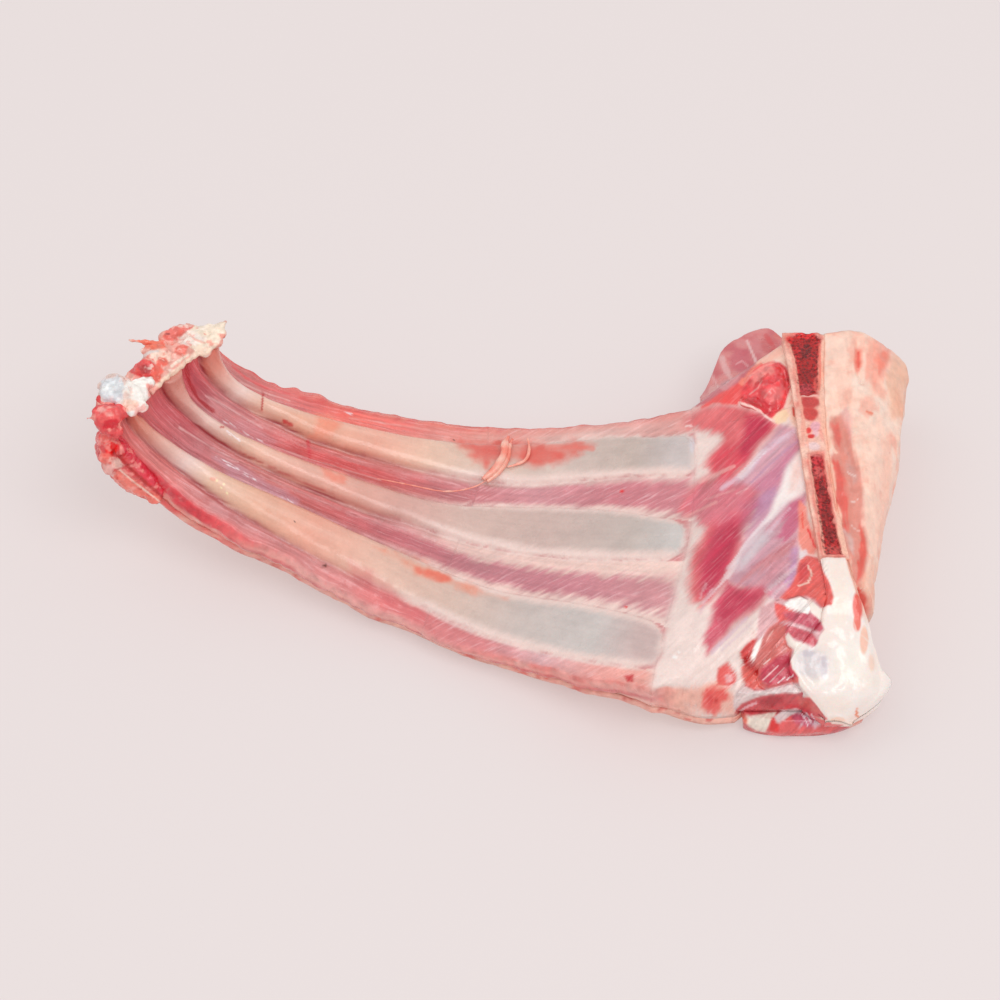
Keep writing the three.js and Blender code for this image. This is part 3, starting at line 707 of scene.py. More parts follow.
def marrow_finish(name):
    """Sawn spongy bone: dark pits between paler walls."""
    finish = Finish(name)
    spots = finish.spots()
    values = {"Vector": spots, "Scale": BONE_CELLS, "Randomness": 1.0}
    cells = finish.add("ShaderNodeTexVoronoi", {"feature": "F1"}, values, output="Distance")
    fine = finish.noise(spots, BONE_FINE_GRAINS, 0.6)
    coarse = finish.noise(spots, BONE_COARSE_GRAINS, 0.6)
    sponge = finish.told("sponge")
    uneven = cells + (fine - 0.5) * 1.1 - (coarse - 0.5) * 1.1
    pits = (1 - finish.ramp(uneven, 0.12, 0.6)) * sponge
    lightness = 1 + (fine - 0.5) * 0.6 + (coarse - 0.5) * 0.5
    colour = finish.times(finish.told("paint", "Color"), lightness)
    bright = finish.ramp(coarse + (fine - 0.5) * 0.5, 0.5, 0.75) * sponge
    colour = finish.mixed(colour, (*shade(*BONE_BRIGHT), 1.0), bright * 0.7)
    colour = finish.mixed(colour, (*shade(*BONE_PIT), 1.0), pits * 0.75)
    finish.set(Base_Color=colour, Roughness=0.4 - finish.told("wet") * 0.18)
    finish.set(Coat_Weight=finish.told("wet") * 0.35, Coat_Roughness=0.12)
    finish.set(Normal=finish.raised(fine * 0.4 - pits * 1.2, 0.6))
    return finish.material


def floor_finish():
    finish = Finish("pale_floor")
    tone = light_of(*FLOOR_TONE)
    finish.set(Base_Color=(*tone * (1 - GLOW), 1.0), Roughness=0.9, Specular_IOR_Level=0.1)
    finish.set(Emission_Color=(*tone, 1.0), Emission_Strength=GLOW)
    return finish.material


# ---------- the chest wall
# Tones along each rib, as (t, red, green, blue). The palest tones near t 0.13 are a painted highlight on the
# rib necks.
RIB_TONES = [
    [(0.02, 222, 126, 110), (0.06, 226, 148, 132), (0.1, 236, 190, 178), (0.13, 242, 212, 203),
     (0.17, 236, 192, 174), (0.25, 232, 176, 153), (0.4, 240, 176, 156), (0.5, 236, 196, 176),
     (0.6, 224, 198, 184), (0.75, 215, 193, 184), (0.88, 200, 181, 172), (0.96, 206, 193, 190)],
    [(0.02, 214, 142, 130), (0.06, 222, 158, 146), (0.13, 242, 206, 196), (0.2, 236, 192, 171),
     (0.3, 235, 177, 160), (0.42, 226, 168, 154), (0.5, 219, 172, 162), (0.6, 215, 184, 174),
     (0.75, 207, 181, 173), (0.9, 201, 186, 179), (0.97, 210, 202, 198)],
    [(0.02, 216, 128, 108), (0.07, 224, 156, 140), (0.12, 236, 190, 178), (0.15, 243, 211, 203),
     (0.2, 235, 194, 170), (0.28, 232, 178, 154), (0.38, 236, 170, 150), (0.5, 230, 188, 171),
     (0.62, 218, 188, 175), (0.75, 206, 191, 185), (0.88, 207, 197, 193), (0.96, 208, 182, 178)],
]
# Width of the pale band inside the far and the near border of each rib beyond mid length.
RIB_BANDS = [(0.6, 2.6), (1.8, 2.8), (2.6, 2.2)]
# The muscle strips from the far edge to the near edge: along them the tone of the middle, of the far side and
# of the near side, and the shares across where the middle begins and ends beyond mid length.
STRIPS = [
    ([(0.02, 214, 110, 108), (0.12, 208, 134, 132), (0.25, 224, 120, 118), (0.33, 246, 118, 108),
      (0.45, 236, 126, 120), (0.58, 236, 166, 156), (0.8, 226, 186, 178), (1, 228, 158, 152)],
     [(0.02, 240, 104, 100), (0.3, 246, 112, 102), (0.5, 242, 146, 134), (1, 238, 150, 140)],
     [(0.02, 214, 110, 106), (0.2, 220, 146, 144), (0.35, 244, 140, 128), (0.6, 234, 188, 178),
      (1, 226, 192, 186)], 0, 1),
    ([(0.02, 228, 96, 102), (0.07, 216, 98, 106), (0.12, 213, 142, 144), (0.2, 214, 126, 126),
      (0.3, 210, 88, 88), (0.45, 210, 98, 98), (0.55, 202, 122, 126), (0.7, 214, 150, 156),
      (0.85, 206, 128, 136), (1, 210, 134, 142)],
     [(0.02, 222, 120, 118), (0.12, 212, 140, 140), (0.3, 216, 156, 144), (0.45, 222, 154, 147),
      (0.6, 228, 186, 181), (1, 228, 186, 182)],
     [(0.02, 196, 76, 84), (0.15, 206, 138, 144), (0.3, 212, 134, 134), (0.45, 215, 146, 138),
      (0.6, 228, 190, 184), (1, 234, 202, 194)], 0.12, 0.86),
    ([(0.02, 222, 110, 112), (0.08, 218, 112, 116), (0.15, 202, 124, 128), (0.25, 213, 122, 118),
      (0.38, 206, 108, 108), (0.5, 200, 110, 117), (0.65, 198, 130, 138), (0.8, 206, 134, 144),
      (1, 212, 150, 154)],
     [(0.02, 226, 120, 116), (0.25, 211, 145, 141), (0.4, 211, 154, 148), (0.5, 228, 172, 168),
      (0.6, 237, 200, 191), (1, 241, 208, 198)],
     [(0.02, 200, 96, 98), (0.25, 200, 136, 144), (0.45, 206, 148, 148), (0.6, 232, 196, 188),
      (1, 238, 208, 200)], 0.3, 0.84),
    ([(0.02, 214, 108, 106), (0.1, 216, 126, 122), (0.25, 205, 126, 126), (0.4, 219, 140, 138),
      (0.55, 222, 124, 124), (0.7, 224, 138, 140), (0.8, 222, 174, 176), (0.9, 240, 168, 160),
      (1, 240, 170, 158)],
     [(0.02, 214, 124, 120), (0.3, 216, 150, 148), (0.55, 232, 176, 170), (0.8, 228, 196, 196),
      (1, 242, 200, 188)],
     [(0.02, 224, 110, 108), (0.3, 228, 138, 136), (0.6, 228, 128, 126), (1, 240, 150, 138)], 0.08, 1),
]


def rib_places(t, v, width):
    """For each rib, the distance inside its borders, the share across it from -1 to 1, and half its width."""
    places = []
    for (far, near), end in zip(RIB_BORDERS, RIB_ENDS):
        far_v, near_v = curve(far, t), curve(near, t)
        depth = np.minimum(v - far_v, near_v - v) * width
        half = (near_v - far_v) * width / 2
        tail = np.maximum(0, (t - end) * MM_PER_T + half * 0.6)
        rounded = half - np.hypot(half - depth, tail * 1.25)
        places.append((np.where(tail > 0, rounded, depth), 2 * (v - far_v) / (near_v - far_v) - 1, half))
    return places


def strip_places(t, v):
    """For each strip of muscle between the ribs, the share across it, 0 at the far side."""
    edges = [0 * t]
    for far, near in RIB_BORDERS:
        edges += [curve(far, t), curve(near, t)]
    edges.append(0 * t + 1)
    return [(v - low) / np.maximum(high - low, 1e-4) for low, high in zip(edges[0::2], edges[1::2])]


def wall_surface(t, v, width):
    """Height of the hollow side over the level of the rib tops, and how far it is inside a rib."""
    rise = rib_rise(t)
    bone = np.zeros(t.shape)
    deepest = np.full(t.shape, -99.0)
    crease = np.zeros(t.shape)
    for depth, _, half in rib_places(t, v, width):
        arch = np.sqrt(np.clip(1 - (1 - np.clip(depth / half, 0, 1)) ** 2, 0, 1))
        bone = np.maximum(bone, arch * ease(depth, -0.2, 1.0))
        crease = np.maximum(crease, hump(depth + 0.5, 0.8))
        deepest = np.maximum(deepest, depth)
    left = 1 - ease(t, 0.35, 0.75)
    sag = (0.6 + 1.0 * left) * ease(-deepest, 0, 3.5) * (1 - ease(t, 0.9, 1.05))
    crown = 0.5 * left * ease(deepest, 0, 3)
    height = -rise * (1 - bone) - sag - crease * (0.3 + 0.7 * left) + crown
    return height, deepest


def skirt_cover(t, v):
    """How far a place is inside the muscle beside the breastbone, in millimetres."""
    left, right = straight(SKIRT, v, 1), straight(SKIRT, v, 2)
    ends = np.minimum(v - SKIRT[0][0], SKIRT[-1][0] - v) * 95
    return np.minimum(np.minimum(t - left, right - t) * MM_PER_T, ends)


def slanted(x, y, angle, length, width):
    """Places along and across a direction that runs up to the picture's right."""
    a = math.radians(angle)
    return (x * math.cos(a) - y * math.sin(a)) / length, (x * math.sin(a) + y * math.cos(a)) / width


def streaks(x, y, angle, length, width, seed=0):
    along, across = slanted(x, y, angle, length, width)
    return grain(spot(along, across), 1, seed)


# Marks on the hollow side, in thousandths of the picture.
CRIMSON = [
    ("684,424 692,414 704,406 720,402 738,404 752,408 764,414 772,421 778,425 770,434 760,445 750,457 "
     "742,468 733,477 740,486 758,492 752,505 748,520 742,535 739,548 734,560 727,574 720,586 710,600 "
     "700,607 691,605 688,585 690,570 693,552 700,540 705,528 698,520 688,516 682,506 684,498 692,488 "
     "702,480 714,474 706,467 710,458 716,448 720,440 716,434 706,430 694,428", (228, 112, 116), 4.5, 1),
    ("746,416 760,414 772,422 770,432 760,444 750,456 742,464 736,462 738,450 742,436 744,424", (200, 56, 82),
     4, 0.95),
    ("712,470 714,456 722,446 736,444 742,456 738,468 730,476 718,478", (222, 74, 90), 5, 0.85),
    ("686,420 700,410 716,406 724,412 712,420 700,426 690,426", (238, 128, 128), 4, 0.6),
    ("742,500 756,494 760,506 754,518 748,532 738,540 736,520", (188, 96, 122), 5, 0.75),
    ("702,556 708,538 716,524 728,512 738,516 741,534 737,552 730,570 720,586 708,598 699,594 698,574",
     (202, 68, 92), 5, 0.95),
    ("716,552 722,534 731,524 737,534 732,552 722,572 711,586 706,576", (190, 54, 80), 5, 0.7),
    ("684,500 698,486 716,478 736,478 754,490 744,506 728,518 705,527 690,516", (212, 122, 136), 6, 0.75),
    ("706,641 708,622 714,606 721,592 727,580 740,588 752,589 763,586 771,592 764,602 754,612 744,618 "
     "734,625 726,635 718,645 709,654", (212, 92, 110), 3.5, 1),
    ("716,614 722,600 732,590 750,593 757,598 746,607 732,616 722,626", (192, 62, 86), 5, 0.85),
]
VIOLET_ZONE = ("779,425 797,424 801,440 806,470 810,500 803,510 801,530 801,548 800,562 797,580 788,594 "
               "776,602 764,592 745,591 727,582 731,572 738,556 742,542 750,530 758,514 752,504 740,492 "
               "730,484 745,468 760,450 770,436")
PINK_ZONE = [
    ("664,694 684,690 704,684 722,684 740,698 744,720 716,716 690,707 668,702", (250, 186, 168), 4, 0.85),
    ("776,536 782,518 790,503 798,494 803,500 801,520 796,532 786,540", (206, 106, 134), 3, 0.85),
    ("756,486 772,466 786,452 796,444 792,460 780,478 768,490 758,496", (208, 124, 150), 4, 0.8),
    ("728,500 744,490 758,484 752,496 740,508 728,514", (212, 124, 140), 4, 0.7),
    ("745,520 758,500 774,486 779,494 768,508 756,522 746,534", (192, 138, 170), 4, 0.8),
    ("792,545 799,548 798,574 791,590 786,580 790,562", (198, 148, 184), 3, 0.8),
    ("736,578 752,566 776,550 798,536 796,546 774,562 752,576 740,584", (208, 134, 138), 2.5, 0.75),
    ("744,588 760,576 782,560 794,556 782,572 766,584 756,590", (212, 140, 148), 3, 0.5),
]
SILVER_LINES = [
    ("797,428 780,440 762,456 746,472 722,488", (232, 206, 220), 2.6, 0.8),
    ("765,452 752,464 741,476", (246, 236, 240), 2.2, 0.8),
    ("799,440 784,452 766,468 752,482", (196, 146, 180), 1.4, 0.7),
    ("799,448 790,462 776,480", (190, 128, 156), 1.2, 0.6),
    ("784,502 772,514 758,530 745,545 736,560 727,576", (240, 232, 234), 2.8, 0.85),
    ("727,576 716,590 702,604", (240, 216, 218), 1.4, 0.8),
    ("790,508 776,524 762,540", (226, 200, 212), 1.6, 0.7),
    ("770,532 756,548 744,562", (222, 204, 210), 2.6, 0.7),
    ("796,540 776,553 752,568", (196, 110, 120), 1, 0.6),
    ("798,566 782,578 766,592", (240, 224, 228), 1.2, 0.7),
    ("790,580 776,592 766,604", (236, 210, 216), 1.2, 0.7),
    ("734,490 716,496 704,500", (240, 176, 176), 1, 0.6),
    ("752,486 736,494", (244, 190, 190), 0.9, 0.6),
    ("746,618 732,632 712,652", (218, 184, 202), 1.4, 0.9),
    ("752,622 738,636 722,650", (226, 200, 210), 1.2, 0.7),
    ("712,590 706,600 700,612", (226, 180, 190), 1.4, 0.8),
    ("706,584 700,598", (230, 180, 186), 1.2, 0.6),
]
CREAM_SEAM = [
    ("700,482 716,474 734,466", (244, 190, 184), 1.6, 0.5),
    ("686,516 700,510 716,502", (240, 176, 170), 1.2, 0.5),
]
CREAM_FAN = [
    ("786,466 794,456 801,448 805,472 807,492 800,496 790,500 780,506 772,516 766,522 774,503 779,486",
     (247, 234, 230), 3.5, 0.95),
    ("791,466 798,460 799,476 794,492 788,492", (248, 208, 198), 3, 0.6),
    ("741,556 752,540 764,530 768,540 756,554 742,570 735,572", (214, 204, 208), 4, 0.6),
]
BONE_MARGIN = [
    ("760,363 766,355 774,351 780,342 786,338 794,352 798,370 800,398 806,425 812,455 817,490 822,530 "
     "826,556 817,556 812,530 807,495 803,460 798,430 790,420 784,412 789,396 792,380 788,367 780,361",
     (249, 208, 190), 2.2, 1),
    ("800,502 805,508 811,530 817,548 814,554 804,552 800,542 799,520", (246, 146, 130), 1.8, 0.95),
    ("801,552 806,550 808,558 804,562 800,560", (236, 224, 226), 1.2, 0.8),
    ("771,416 778,410 786,409 790,415 786,422 778,424 773,421", (250, 212, 176), 1.6, 0.95),
]
BONE_MARGIN_LINES = [
    ("808,529 811,537 815,547", (240, 46, 44), 1.1, 0.95),
    ("802,512 803,528", (244, 90, 76), 0.9, 0.8),
    ("793,408 794,415", (226, 70, 60), 1, 0.9),
    ("796,392 798,400", (240, 150, 130), 0.8, 0.7),
    ("786,379 785,386", (232, 40, 50), 1.4, 0.9),
]
FAR_EDGE = [
    ("690,407 702,398 716,386 730,372 744,356 764,340 782,330 782,338 772,350 760,362 750,374 742,388 "
     "728,394 714,401 700,405", (206, 112, 120), 1.6, 1),
    ("720,388 730,376 742,364 746,368 736,380 726,392", (224, 160, 162), 2.4, 0.7),
    ("752,372 756,362 764,350 774,341 784,333 792,334 792,346 784,354 772,362 764,367", (247, 190, 172), 1.6,
     1),
    ("744,378 752,366 762,362 764,368 754,378 746,386", (243, 130, 116), 1.4, 0.95),
    ("702,407 714,398 726,391 738,384 746,382 746,398 737,405 728,404 716,403", (240, 92, 90), 1.8, 1),
    ("739,383 742,378 746,378 748,383 744,387", (250, 140, 122), 1, 0.95),
]
FAR_RED = [
    ("740,404 741,396 742,388 746,382 750,376 756,368 763,364 772,361 780,362 786,366 791,373 792,381 "
     "789,391 786,400 784,408 777,413 772,419 766,415 758,411 750,407", (236, 74, 80), 1.4, 1),
    ("746,400 756,396 768,402 776,408 770,416 760,410 750,406", (208, 34, 58), 2.5, 0.85),
    ("752,376 760,368 772,365 774,372 762,380 752,388", (246, 150, 142), 3, 0.7),
    ("762,394 772,386 782,388 782,400 772,404", (240, 132, 130), 3, 0.6),
]
FAR_LINES = [
    ("740,403 750,406 760,411 768,418 774,421", (250, 206, 198), 1, 0.95),
    ("776,366 780,370 779,375", (226, 16, 40), 1.6, 0.9),
    ("750,394 758,388 762,380", (246, 160, 156), 0.6, 0.6),
    ("764,398 772,388", (246, 160, 156), 0.6, 0.5),
    ("756,384 768,374", (206, 30, 50), 1, 0.7),
    ("744,384 752,374 764,366 774,362", (250, 150, 140), 1.2, 0.7),
    ("786,380 791,382 790,388", (206, 20, 36), 1.4, 0.7),
    ("742,398 750,402 762,406", (196, 20, 40), 1.2, 0.7),
]
WHITE_OUTLINE = ("826,556 831,572 835,590 836,602 830,607 820,608 813,602 808,598 811,612 822,622 825,630 "
                 "820,636 818,643 812,647 803,643 795,641 788,632 785,637 788,646 794,650 791,660 793,668 "
                 "799,676 800,684 806,692 812,697 820,706 828,714 832,722 864,724 870,700 894,690 894,668 "
                 "874,645 856,631 851,612 849,590 845,570 842,554")
CORNER_ZONE = ("770,560 826,556 834,600 826,630 812,650 803,684 850,716 846,740 735,740 732,690 738,645 "
               "765,615")
CORNER = [
    ("760,606 776,600 800,590 826,600 830,640 812,660 800,690 770,694 752,670 756,640", (220, 166, 170), 2,
     0.9),
    ("800,560 806,555 818,557 824,570 830,585 834,598 832,606 822,608 815,600 806,596 796,598 786,600 "
     "780,598 789,588 796,574", (228, 100, 94), 1.6, 1),
    ("801,564 807,562 809,572 804,581 799,582 799,572", (206, 72, 76), 1.5, 0.8),
    ("810,588 822,584 830,596 826,603 816,598", (240, 108, 98), 2.5, 0.7),
    ("775,603 785,606 792,610 797,616 790,621 779,621 775,612", (234, 102, 98), 1.4, 1),
    ("783,613 796,612 812,614 820,620 824,628 820,632 811,628 800,624 790,622", (204, 88, 106), 1.4, 1),
    ("776,622 787,624 800,629 812,633 818,640 815,646 805,642 795,639 786,634", (208, 92, 104), 1.4, 1),
    ("754,662 757,650 762,638 768,629 776,622 785,625 786,634 788,644 793,649 790,659 793,668 800,678 "
     "798,682 788,683 778,686 768,689 760,684 756,673", (214, 112, 106), 1.5, 1),
    ("761,669 774,659 789,651 791,662 797,676 785,682 768,687 760,680", (198, 64, 86), 3, 0.9),
    ("740,652 746,645 752,640 757,638 753,648 750,656 745,661 741,658", (226, 84, 82), 1.3, 1),
    ("742,657 748,655 753,662 758,669 758,675 750,673 744,667", (190, 6, 28), 1.1, 1),
    ("752,656 754,648 758,641 763,635 761,644 757,653 754,661", (252, 238, 232), 1, 1),
    ("741,664 748,668 756,674 761,682 765,688 755,690 746,685 741,676", (230, 106, 98), 1.4, 1),
    ("733,700 737,690 744,686 755,691 766,690 780,687 795,683 801,685 804,691 796,694 785,693 770,695 "
     "758,698 748,702 740,708 735,712", (230, 208, 206), 1.4, 1),
    ("735,711 742,704 750,700 760,696 775,695 790,693 800,696 810,697 816,703 822,709 829,715 820,718 "
     "812,716 800,712 790,709 778,710 765,711 752,714 742,717 736,716", (214, 84, 90), 1.4, 1),
    ("758,700 770,696 784,696 784,702 772,706 760,705", (180, 38, 58), 2.5, 0.85),
    ("798,698 809,698 818,706 826,714 812,712 800,706", (220, 112, 106), 2.5, 0.8),
    ("743,717 760,714 776,712 774,718 769,726 766,733 755,730 746,724", (245, 230, 216), 1.3, 1),
    ("764,734 768,727 772,718 778,714 790,710 802,712 812,716 822,719 832,720 848,718 838,728 825,734 "
     "810,738 790,740 766,740", (232, 106, 106), 1.4, 1),
    ("774,717 782,711 795,709 801,711 791,715 783,720 775,723", (232, 224, 223), 1.2, 0.95),
    ("792,716 800,713 812,717 818,724 808,727 796,724", (200, 100, 128), 2.5, 0.8),
    ("769,729 771,721 774,718 778,723 779,732 773,734", (236, 62, 62), 1.4, 0.9),
    ("738,718 743,715 748,718 747,723 740,725", (248, 122, 102), 1.4, 0.95),
    ("784,604 790,600 800,597 808,600 811,608 808,614 798,611 788,608", (252, 246, 241), 1, 1),
]
CORNER_HOLLOWS = [outline for outline, *_ in CORNER[9:11]]
CORNER_BAND = CORNER[7][0]
# Lines in the near corner: pale and dark fibre lines, and short pale strokes slanted up to the right near
# (780, 675), which are painted highlights.
CORNER_LINES_AND_HIGHLIGHTS = [
    ("808,566 812,574 808,583 799,586", (246, 206, 190), 0.9, 0.9),
    ("776,601 786,599 800,596 808,600 812,610", (150, 84, 84), 0.55, 0.7),
    ("783,623 800,627 820,634", (236, 190, 194), 0.8, 0.9),
    ("764,664 770,659", (250, 214, 208), 0.6, 0.8),
    ("763,680 778,666", (246, 200, 200), 0.6, 0.8),
    ("770,682 784,668", (246, 200, 200), 0.5, 0.6),
    ("778,683 785,677", (252, 236, 236), 0.6, 0.8),
    ("787,680 793,674", (252, 236, 238), 0.6, 0.8),
    ("767,640 773,630", (246, 190, 180), 0.6, 0.7),
    ("776,656 786,648", (236, 160, 160), 0.6, 0.6),
    ("738,713 746,707 756,703", (240, 184, 190), 1, 0.8),
    ("736,700 752,694", (250, 236, 232), 0.8, 0.6),
    ("802,714 808,725", (246, 232, 238), 0.6, 0.9),
    ("806,713 812,724", (250, 240, 244), 0.7, 0.9),
    ("811,714 816,722", (240, 224, 232), 0.5, 0.8),
    ("759,638 752,632", (240, 186, 176), 0.8, 0.5),
]
RED_SPOTS = [
    ("717,677 719,668 724,664 728,661 732,667 736,675 735,682 728,685 718,684", (236, 92, 88), 1.8, 0.95),
    ("725,675 731,674 733,680 727,683", (240, 184, 184), 1.2, 0.8),
    ("702,694 708,688 714,686 722,688 729,694 729,700 722,702 720,710 714,715 707,712 702,705", (244, 98, 92),
     2.2, 0.95),
    ("706,696 712,694 714,702 709,706", (222, 44, 54), 1.6, 0.6),
    ("714,698 718,697 718,702 714,702", (200, 30, 44), 0.9, 0.8),
    ("624,675 634,674 633,682 627,682", (206, 40, 56), 1.6, 0.9),
]
HOLLOWS = [outline for outline, *_ in RED_SPOTS[:1] + RED_SPOTS[2:3]] + CORNER_HOLLOWS
STRAND_SHADOW = "503,436 498,450 494,470 490,490"
STAINS = [
    ("452,440 468,437 490,440 520,441 545,443 570,441 598,446 580,452 560,462 540,466 520,462 500,461 "
     "486,467 474,462 464,452", (228, 112, 100), 5, 0.8),
    ("470,444 496,444 500,456 486,463 474,456", (226, 100, 92), 4, 0.6),
    ("516,446 556,448 560,456 540,462 520,458", (226, 100, 90), 4, 0.6),
    ("318,415 340,419 337,432 325,441 309,436", (246, 148, 122), 5, 0.8),
    ("322,468 345,476 343,482 325,477", (242, 144, 124), 3.5, 0.75),
    ("372,546 400,555 424,564 446,574 470,583 506,598 480,594 448,584 420,574 396,562", (238, 146, 120), 4.5,
     0.75),
    ("414,565 438,573 456,580 440,582 420,573", (234, 116, 98), 3, 0.7),
    ("350,560 400,594 438,622 424,622 380,602 345,574", (216, 104, 108), 5, 0.45),
]
# Dark lines: knife cuts, a red streak, and dark red crease lines beside the second rib, which are partly
# painted shade.
CUTS_AND_CREASE_SHADE = [
    ("263,392 262,409", (190, 42, 50), 0.8, 0.9),
    ("245,403 262,411", (196, 50, 56), 0.6, 0.7),
    ("284,421 292,425", (206, 50, 60), 1.6, 0.8),
    ("308,441 310,457", (214, 64, 72), 1.6, 0.8),
    ("187,358 186,368 190,384 199,400 213,411", (184, 40, 56), 1.4, 0.8),
    ("240,431 262,441 300,454", (196, 66, 74), 0.7, 0.6),
    ("240,452 285,474 335,496", (190, 60, 66), 0.6, 0.55),
    ("548,447 572,447 592,448", (234, 122, 110), 2, 0.6),
]
# Specks as (x, y, half width, half height, tone, amount): blood and dark specks, while the white, grey-white
# and pale yellow ones are painted highlights.
SPECKS_AND_HIGHLIGHTS = [
    (622, 491, 2.2, 2.2, (222, 30, 52), 1), (626, 607, 1.6, 1.6, (230, 84, 84), 1),
    (325, 566, 2.8, 1.6, (92, 58, 36), 1), (294, 521, 1.1, 1.1, (74, 40, 36), 1),
    (454, 440, 1, 1, (90, 60, 50), 1), (692, 445, 3, 8, (214, 208, 214), 0.7),
    (689, 426, 4, 1, (250, 240, 236), 0.6), (675, 657, 3.2, 1.8, (254, 249, 246), 0.8),
    (679, 652, 1.6, 1.2, (254, 249, 246), 0.7), (217, 481, 1, 1.6, (252, 236, 190), 1),
    (221, 487, 0.9, 1.6, (252, 236, 190), 1), (227, 492, 0.9, 1.8, (252, 236, 190), 1),
    (224, 484, 0.8, 1.2, (252, 236, 190), 1), (213, 479, 3, 2, (240, 160, 140), 0.7),
    (222, 427, 3, 1, (196, 40, 50), 0.8)
]
# Painted glints: broken pale lines on the muscle strips.
GLINTS = [
    "224,420 234,426 248,434 264,442",
    "216,456 232,466 252,478 270,489 292,501",
    "340,411 352,414",
    "228,432 240,440",
]
# Painted sheen on the muscle strips at the left, with some darker red patches.
LEFT_SHEEN = [
    ("226,424 240,420 262,430 276,442 262,450 244,442", (208, 142, 150), 4, 0.5),
    ("214,458 240,466 262,480 300,500 296,508 262,496 232,480", (204, 150, 162), 4, 0.7),
    ("186,360 200,378 212,396 206,404 192,388", (176, 76, 88), 4, 0.5),
    ("262,400 290,408 300,418 282,420 264,412", (216, 150, 150), 4, 0.5),
    ("152,398 168,394 184,410 200,428 192,432 168,422 154,412", (206, 94, 104), 5, 0.6),
]
# Lines on the muscle strips at the left: pale streaks, partly fibres and partly painted glints; dark red
# lines beside the ribs, partly painted crease shade; and red lines.
STRIP_LINES_GLINTS_AND_SHADE = [
    ("180,428 200,440 220,452 238,462", (238, 186, 184), 0.9, 0.7),
    ("206,396 224,405 242,416 262,428", (236, 186, 186), 0.9, 0.6),
    ("148,444 162,455 180,468 200,482 226,500", (228, 168, 164), 1, 0.6),
    ("216,478 236,492 262,508 300,530", (232, 180, 182), 0.9, 0.5),
    ("262,440 300,456 340,468 380,480", (232, 176, 174), 0.8, 0.5),
    ("240,478 270,494 310,514 350,534", (232, 170, 170), 0.8, 0.5),
    ("180,424 196,436 216,450 240,464 262,478", (176, 74, 84), 0.8, 0.5),
    ("200,388 216,396 236,408 256,420", (184, 88, 96), 0.8, 0.5),
    ("150,452 172,470 196,486 222,504", (186, 84, 88), 0.8, 0.5),
    ("240,382 262,392 290,401", (246, 196, 190), 0.8, 0.5),
    ("300,398 330,404 360,411 400,418", (226, 92, 90), 2.2, 0.6),
    ("232,366 246,378 266,388 290,394", (236, 90, 92), 1.2, 0.6),
    ("350,418 390,424 430,430", (240, 178, 168), 0.8, 0.4),
    ("250,392 276,402 306,410", (200, 96, 104), 0.8, 0.5),
]
NEAR_CUT = [
    (0.02, 226, 64, 76), (0.12, 224, 66, 80), (0.2, 228, 60, 72), (0.27, 236, 96, 100), (0.33, 230, 144, 140),
    (0.4, 240, 172, 168), (0.5, 232, 164, 160), (0.65, 228, 156, 154), (0.78, 236, 140, 134),
    (0.9, 228, 128, 122), (1, 236, 140, 132), (1.1, 252, 190, 172), (1.3, 252, 196, 176)
]


def paint_flesh(t, v, width, x, y, place, feather):
    """Colour of the ribs and of the muscle between them, with painted highlights and painted shade in the
    creases beside the ribs.
    """
    wobble = rough(place, 5, 3, 11)
    lines = grain(spot(t * MM_PER_T / 22, v * 80), 1, 21) * 0.5
    lines = lines + grain(spot(t * MM_PER_T / 10, v * 140, 3.3), 1, 22) * 0.5
    right = ease(t, 0.42, 0.66)
    left = 1 - right
    colour = plain((214, 140, 140), place).copy()
    for (middle, far, near, first, last), share in zip(STRIPS, strip_places(t, v)):
        q = share + (0.1 * feather + 0.07 * wobble) * right + 0.08 * lines * left
        broad = np.sin(np.pi * np.clip(q, 0, 1)) ** 0.6
        core = ease(q, first - 0.13, first + 0.13) * (1 - ease(q, last - 0.12, last + 0.12))
        tone = blend(toned(far, t), toned(near, t), ease(q, 0.35, 0.65))
        tone = blend(tone, toned(middle, t), broad * left + core * right)
        here = (share >= 0) & (share <= 1)
        colour[here] = tone[here]
    colour = colour * (1.02 + (0.13 + 0.08 * left) * lines + 0.12 * wobble + 0.08 * feather * right)[:, None]
    colour = fill(colour, LEFT_SHEEN, x, y, wobble)
    colour = draw(colour, STRIP_LINES_GLINTS_AND_SHADE, x, y, 0.8 * wobble)
    for number, (depth, share, half) in enumerate(rib_places(t, v, width)):
        ragged = wobble * 0.6 + feather * 0.8 * right
        frame_width = ease(t, 0.45, 0.62)
        far_band, near_band = RIB_BANDS[number]
        from_far = (share + 1) * half - far_band * frame_width
        from_near = (1 - share) * half - near_band * frame_width
        inner = np.minimum(np.minimum(from_far, from_near), depth)
        band = blend(toned(RIB_TONES[number], t), plain((238, 211, 203), place), frame_width)
        band = lit(band, 0.06 * wobble)
        core = lit(toned(RIB_TONES[number], t), 0.07 * wobble + 0.05 * lines)
        colour = blend(colour, band, ease(depth + ragged, -0.7 - 0.6 * right, 0.7))
        colour = blend(colour, core, ease(inner + ragged * 0.7, -0.5 - 1.1 * right, 0.5 + 1.1 * right))
        # A dark red line along the rib borders at the left: partly the tissue's own colour, partly painted
        # crease shade.
        line = hump(depth + 0.1, 0.45) * (1 - ease(t, 0.35, 0.62))
        line = line * np.clip((0.75 if number == 1 else 0.6) + 0.8 * lines, 0, 1)
        colour = blend(colour, shade(158, 48, 56), line)
        # Painted highlight: a paler band along the middle of each rib near the spine.
        gloss = hump(share + 0.25 - 0.2 * number, 0.22)
        gloss = gloss * (1 - ease(t, 0.36, 0.5)) * ease(t, 0.05, 0.11)
        colour = blend(colour, shade(248, 214, 200), gloss * 0.35 * (0.6 + 0.5 * lines))
    return colour


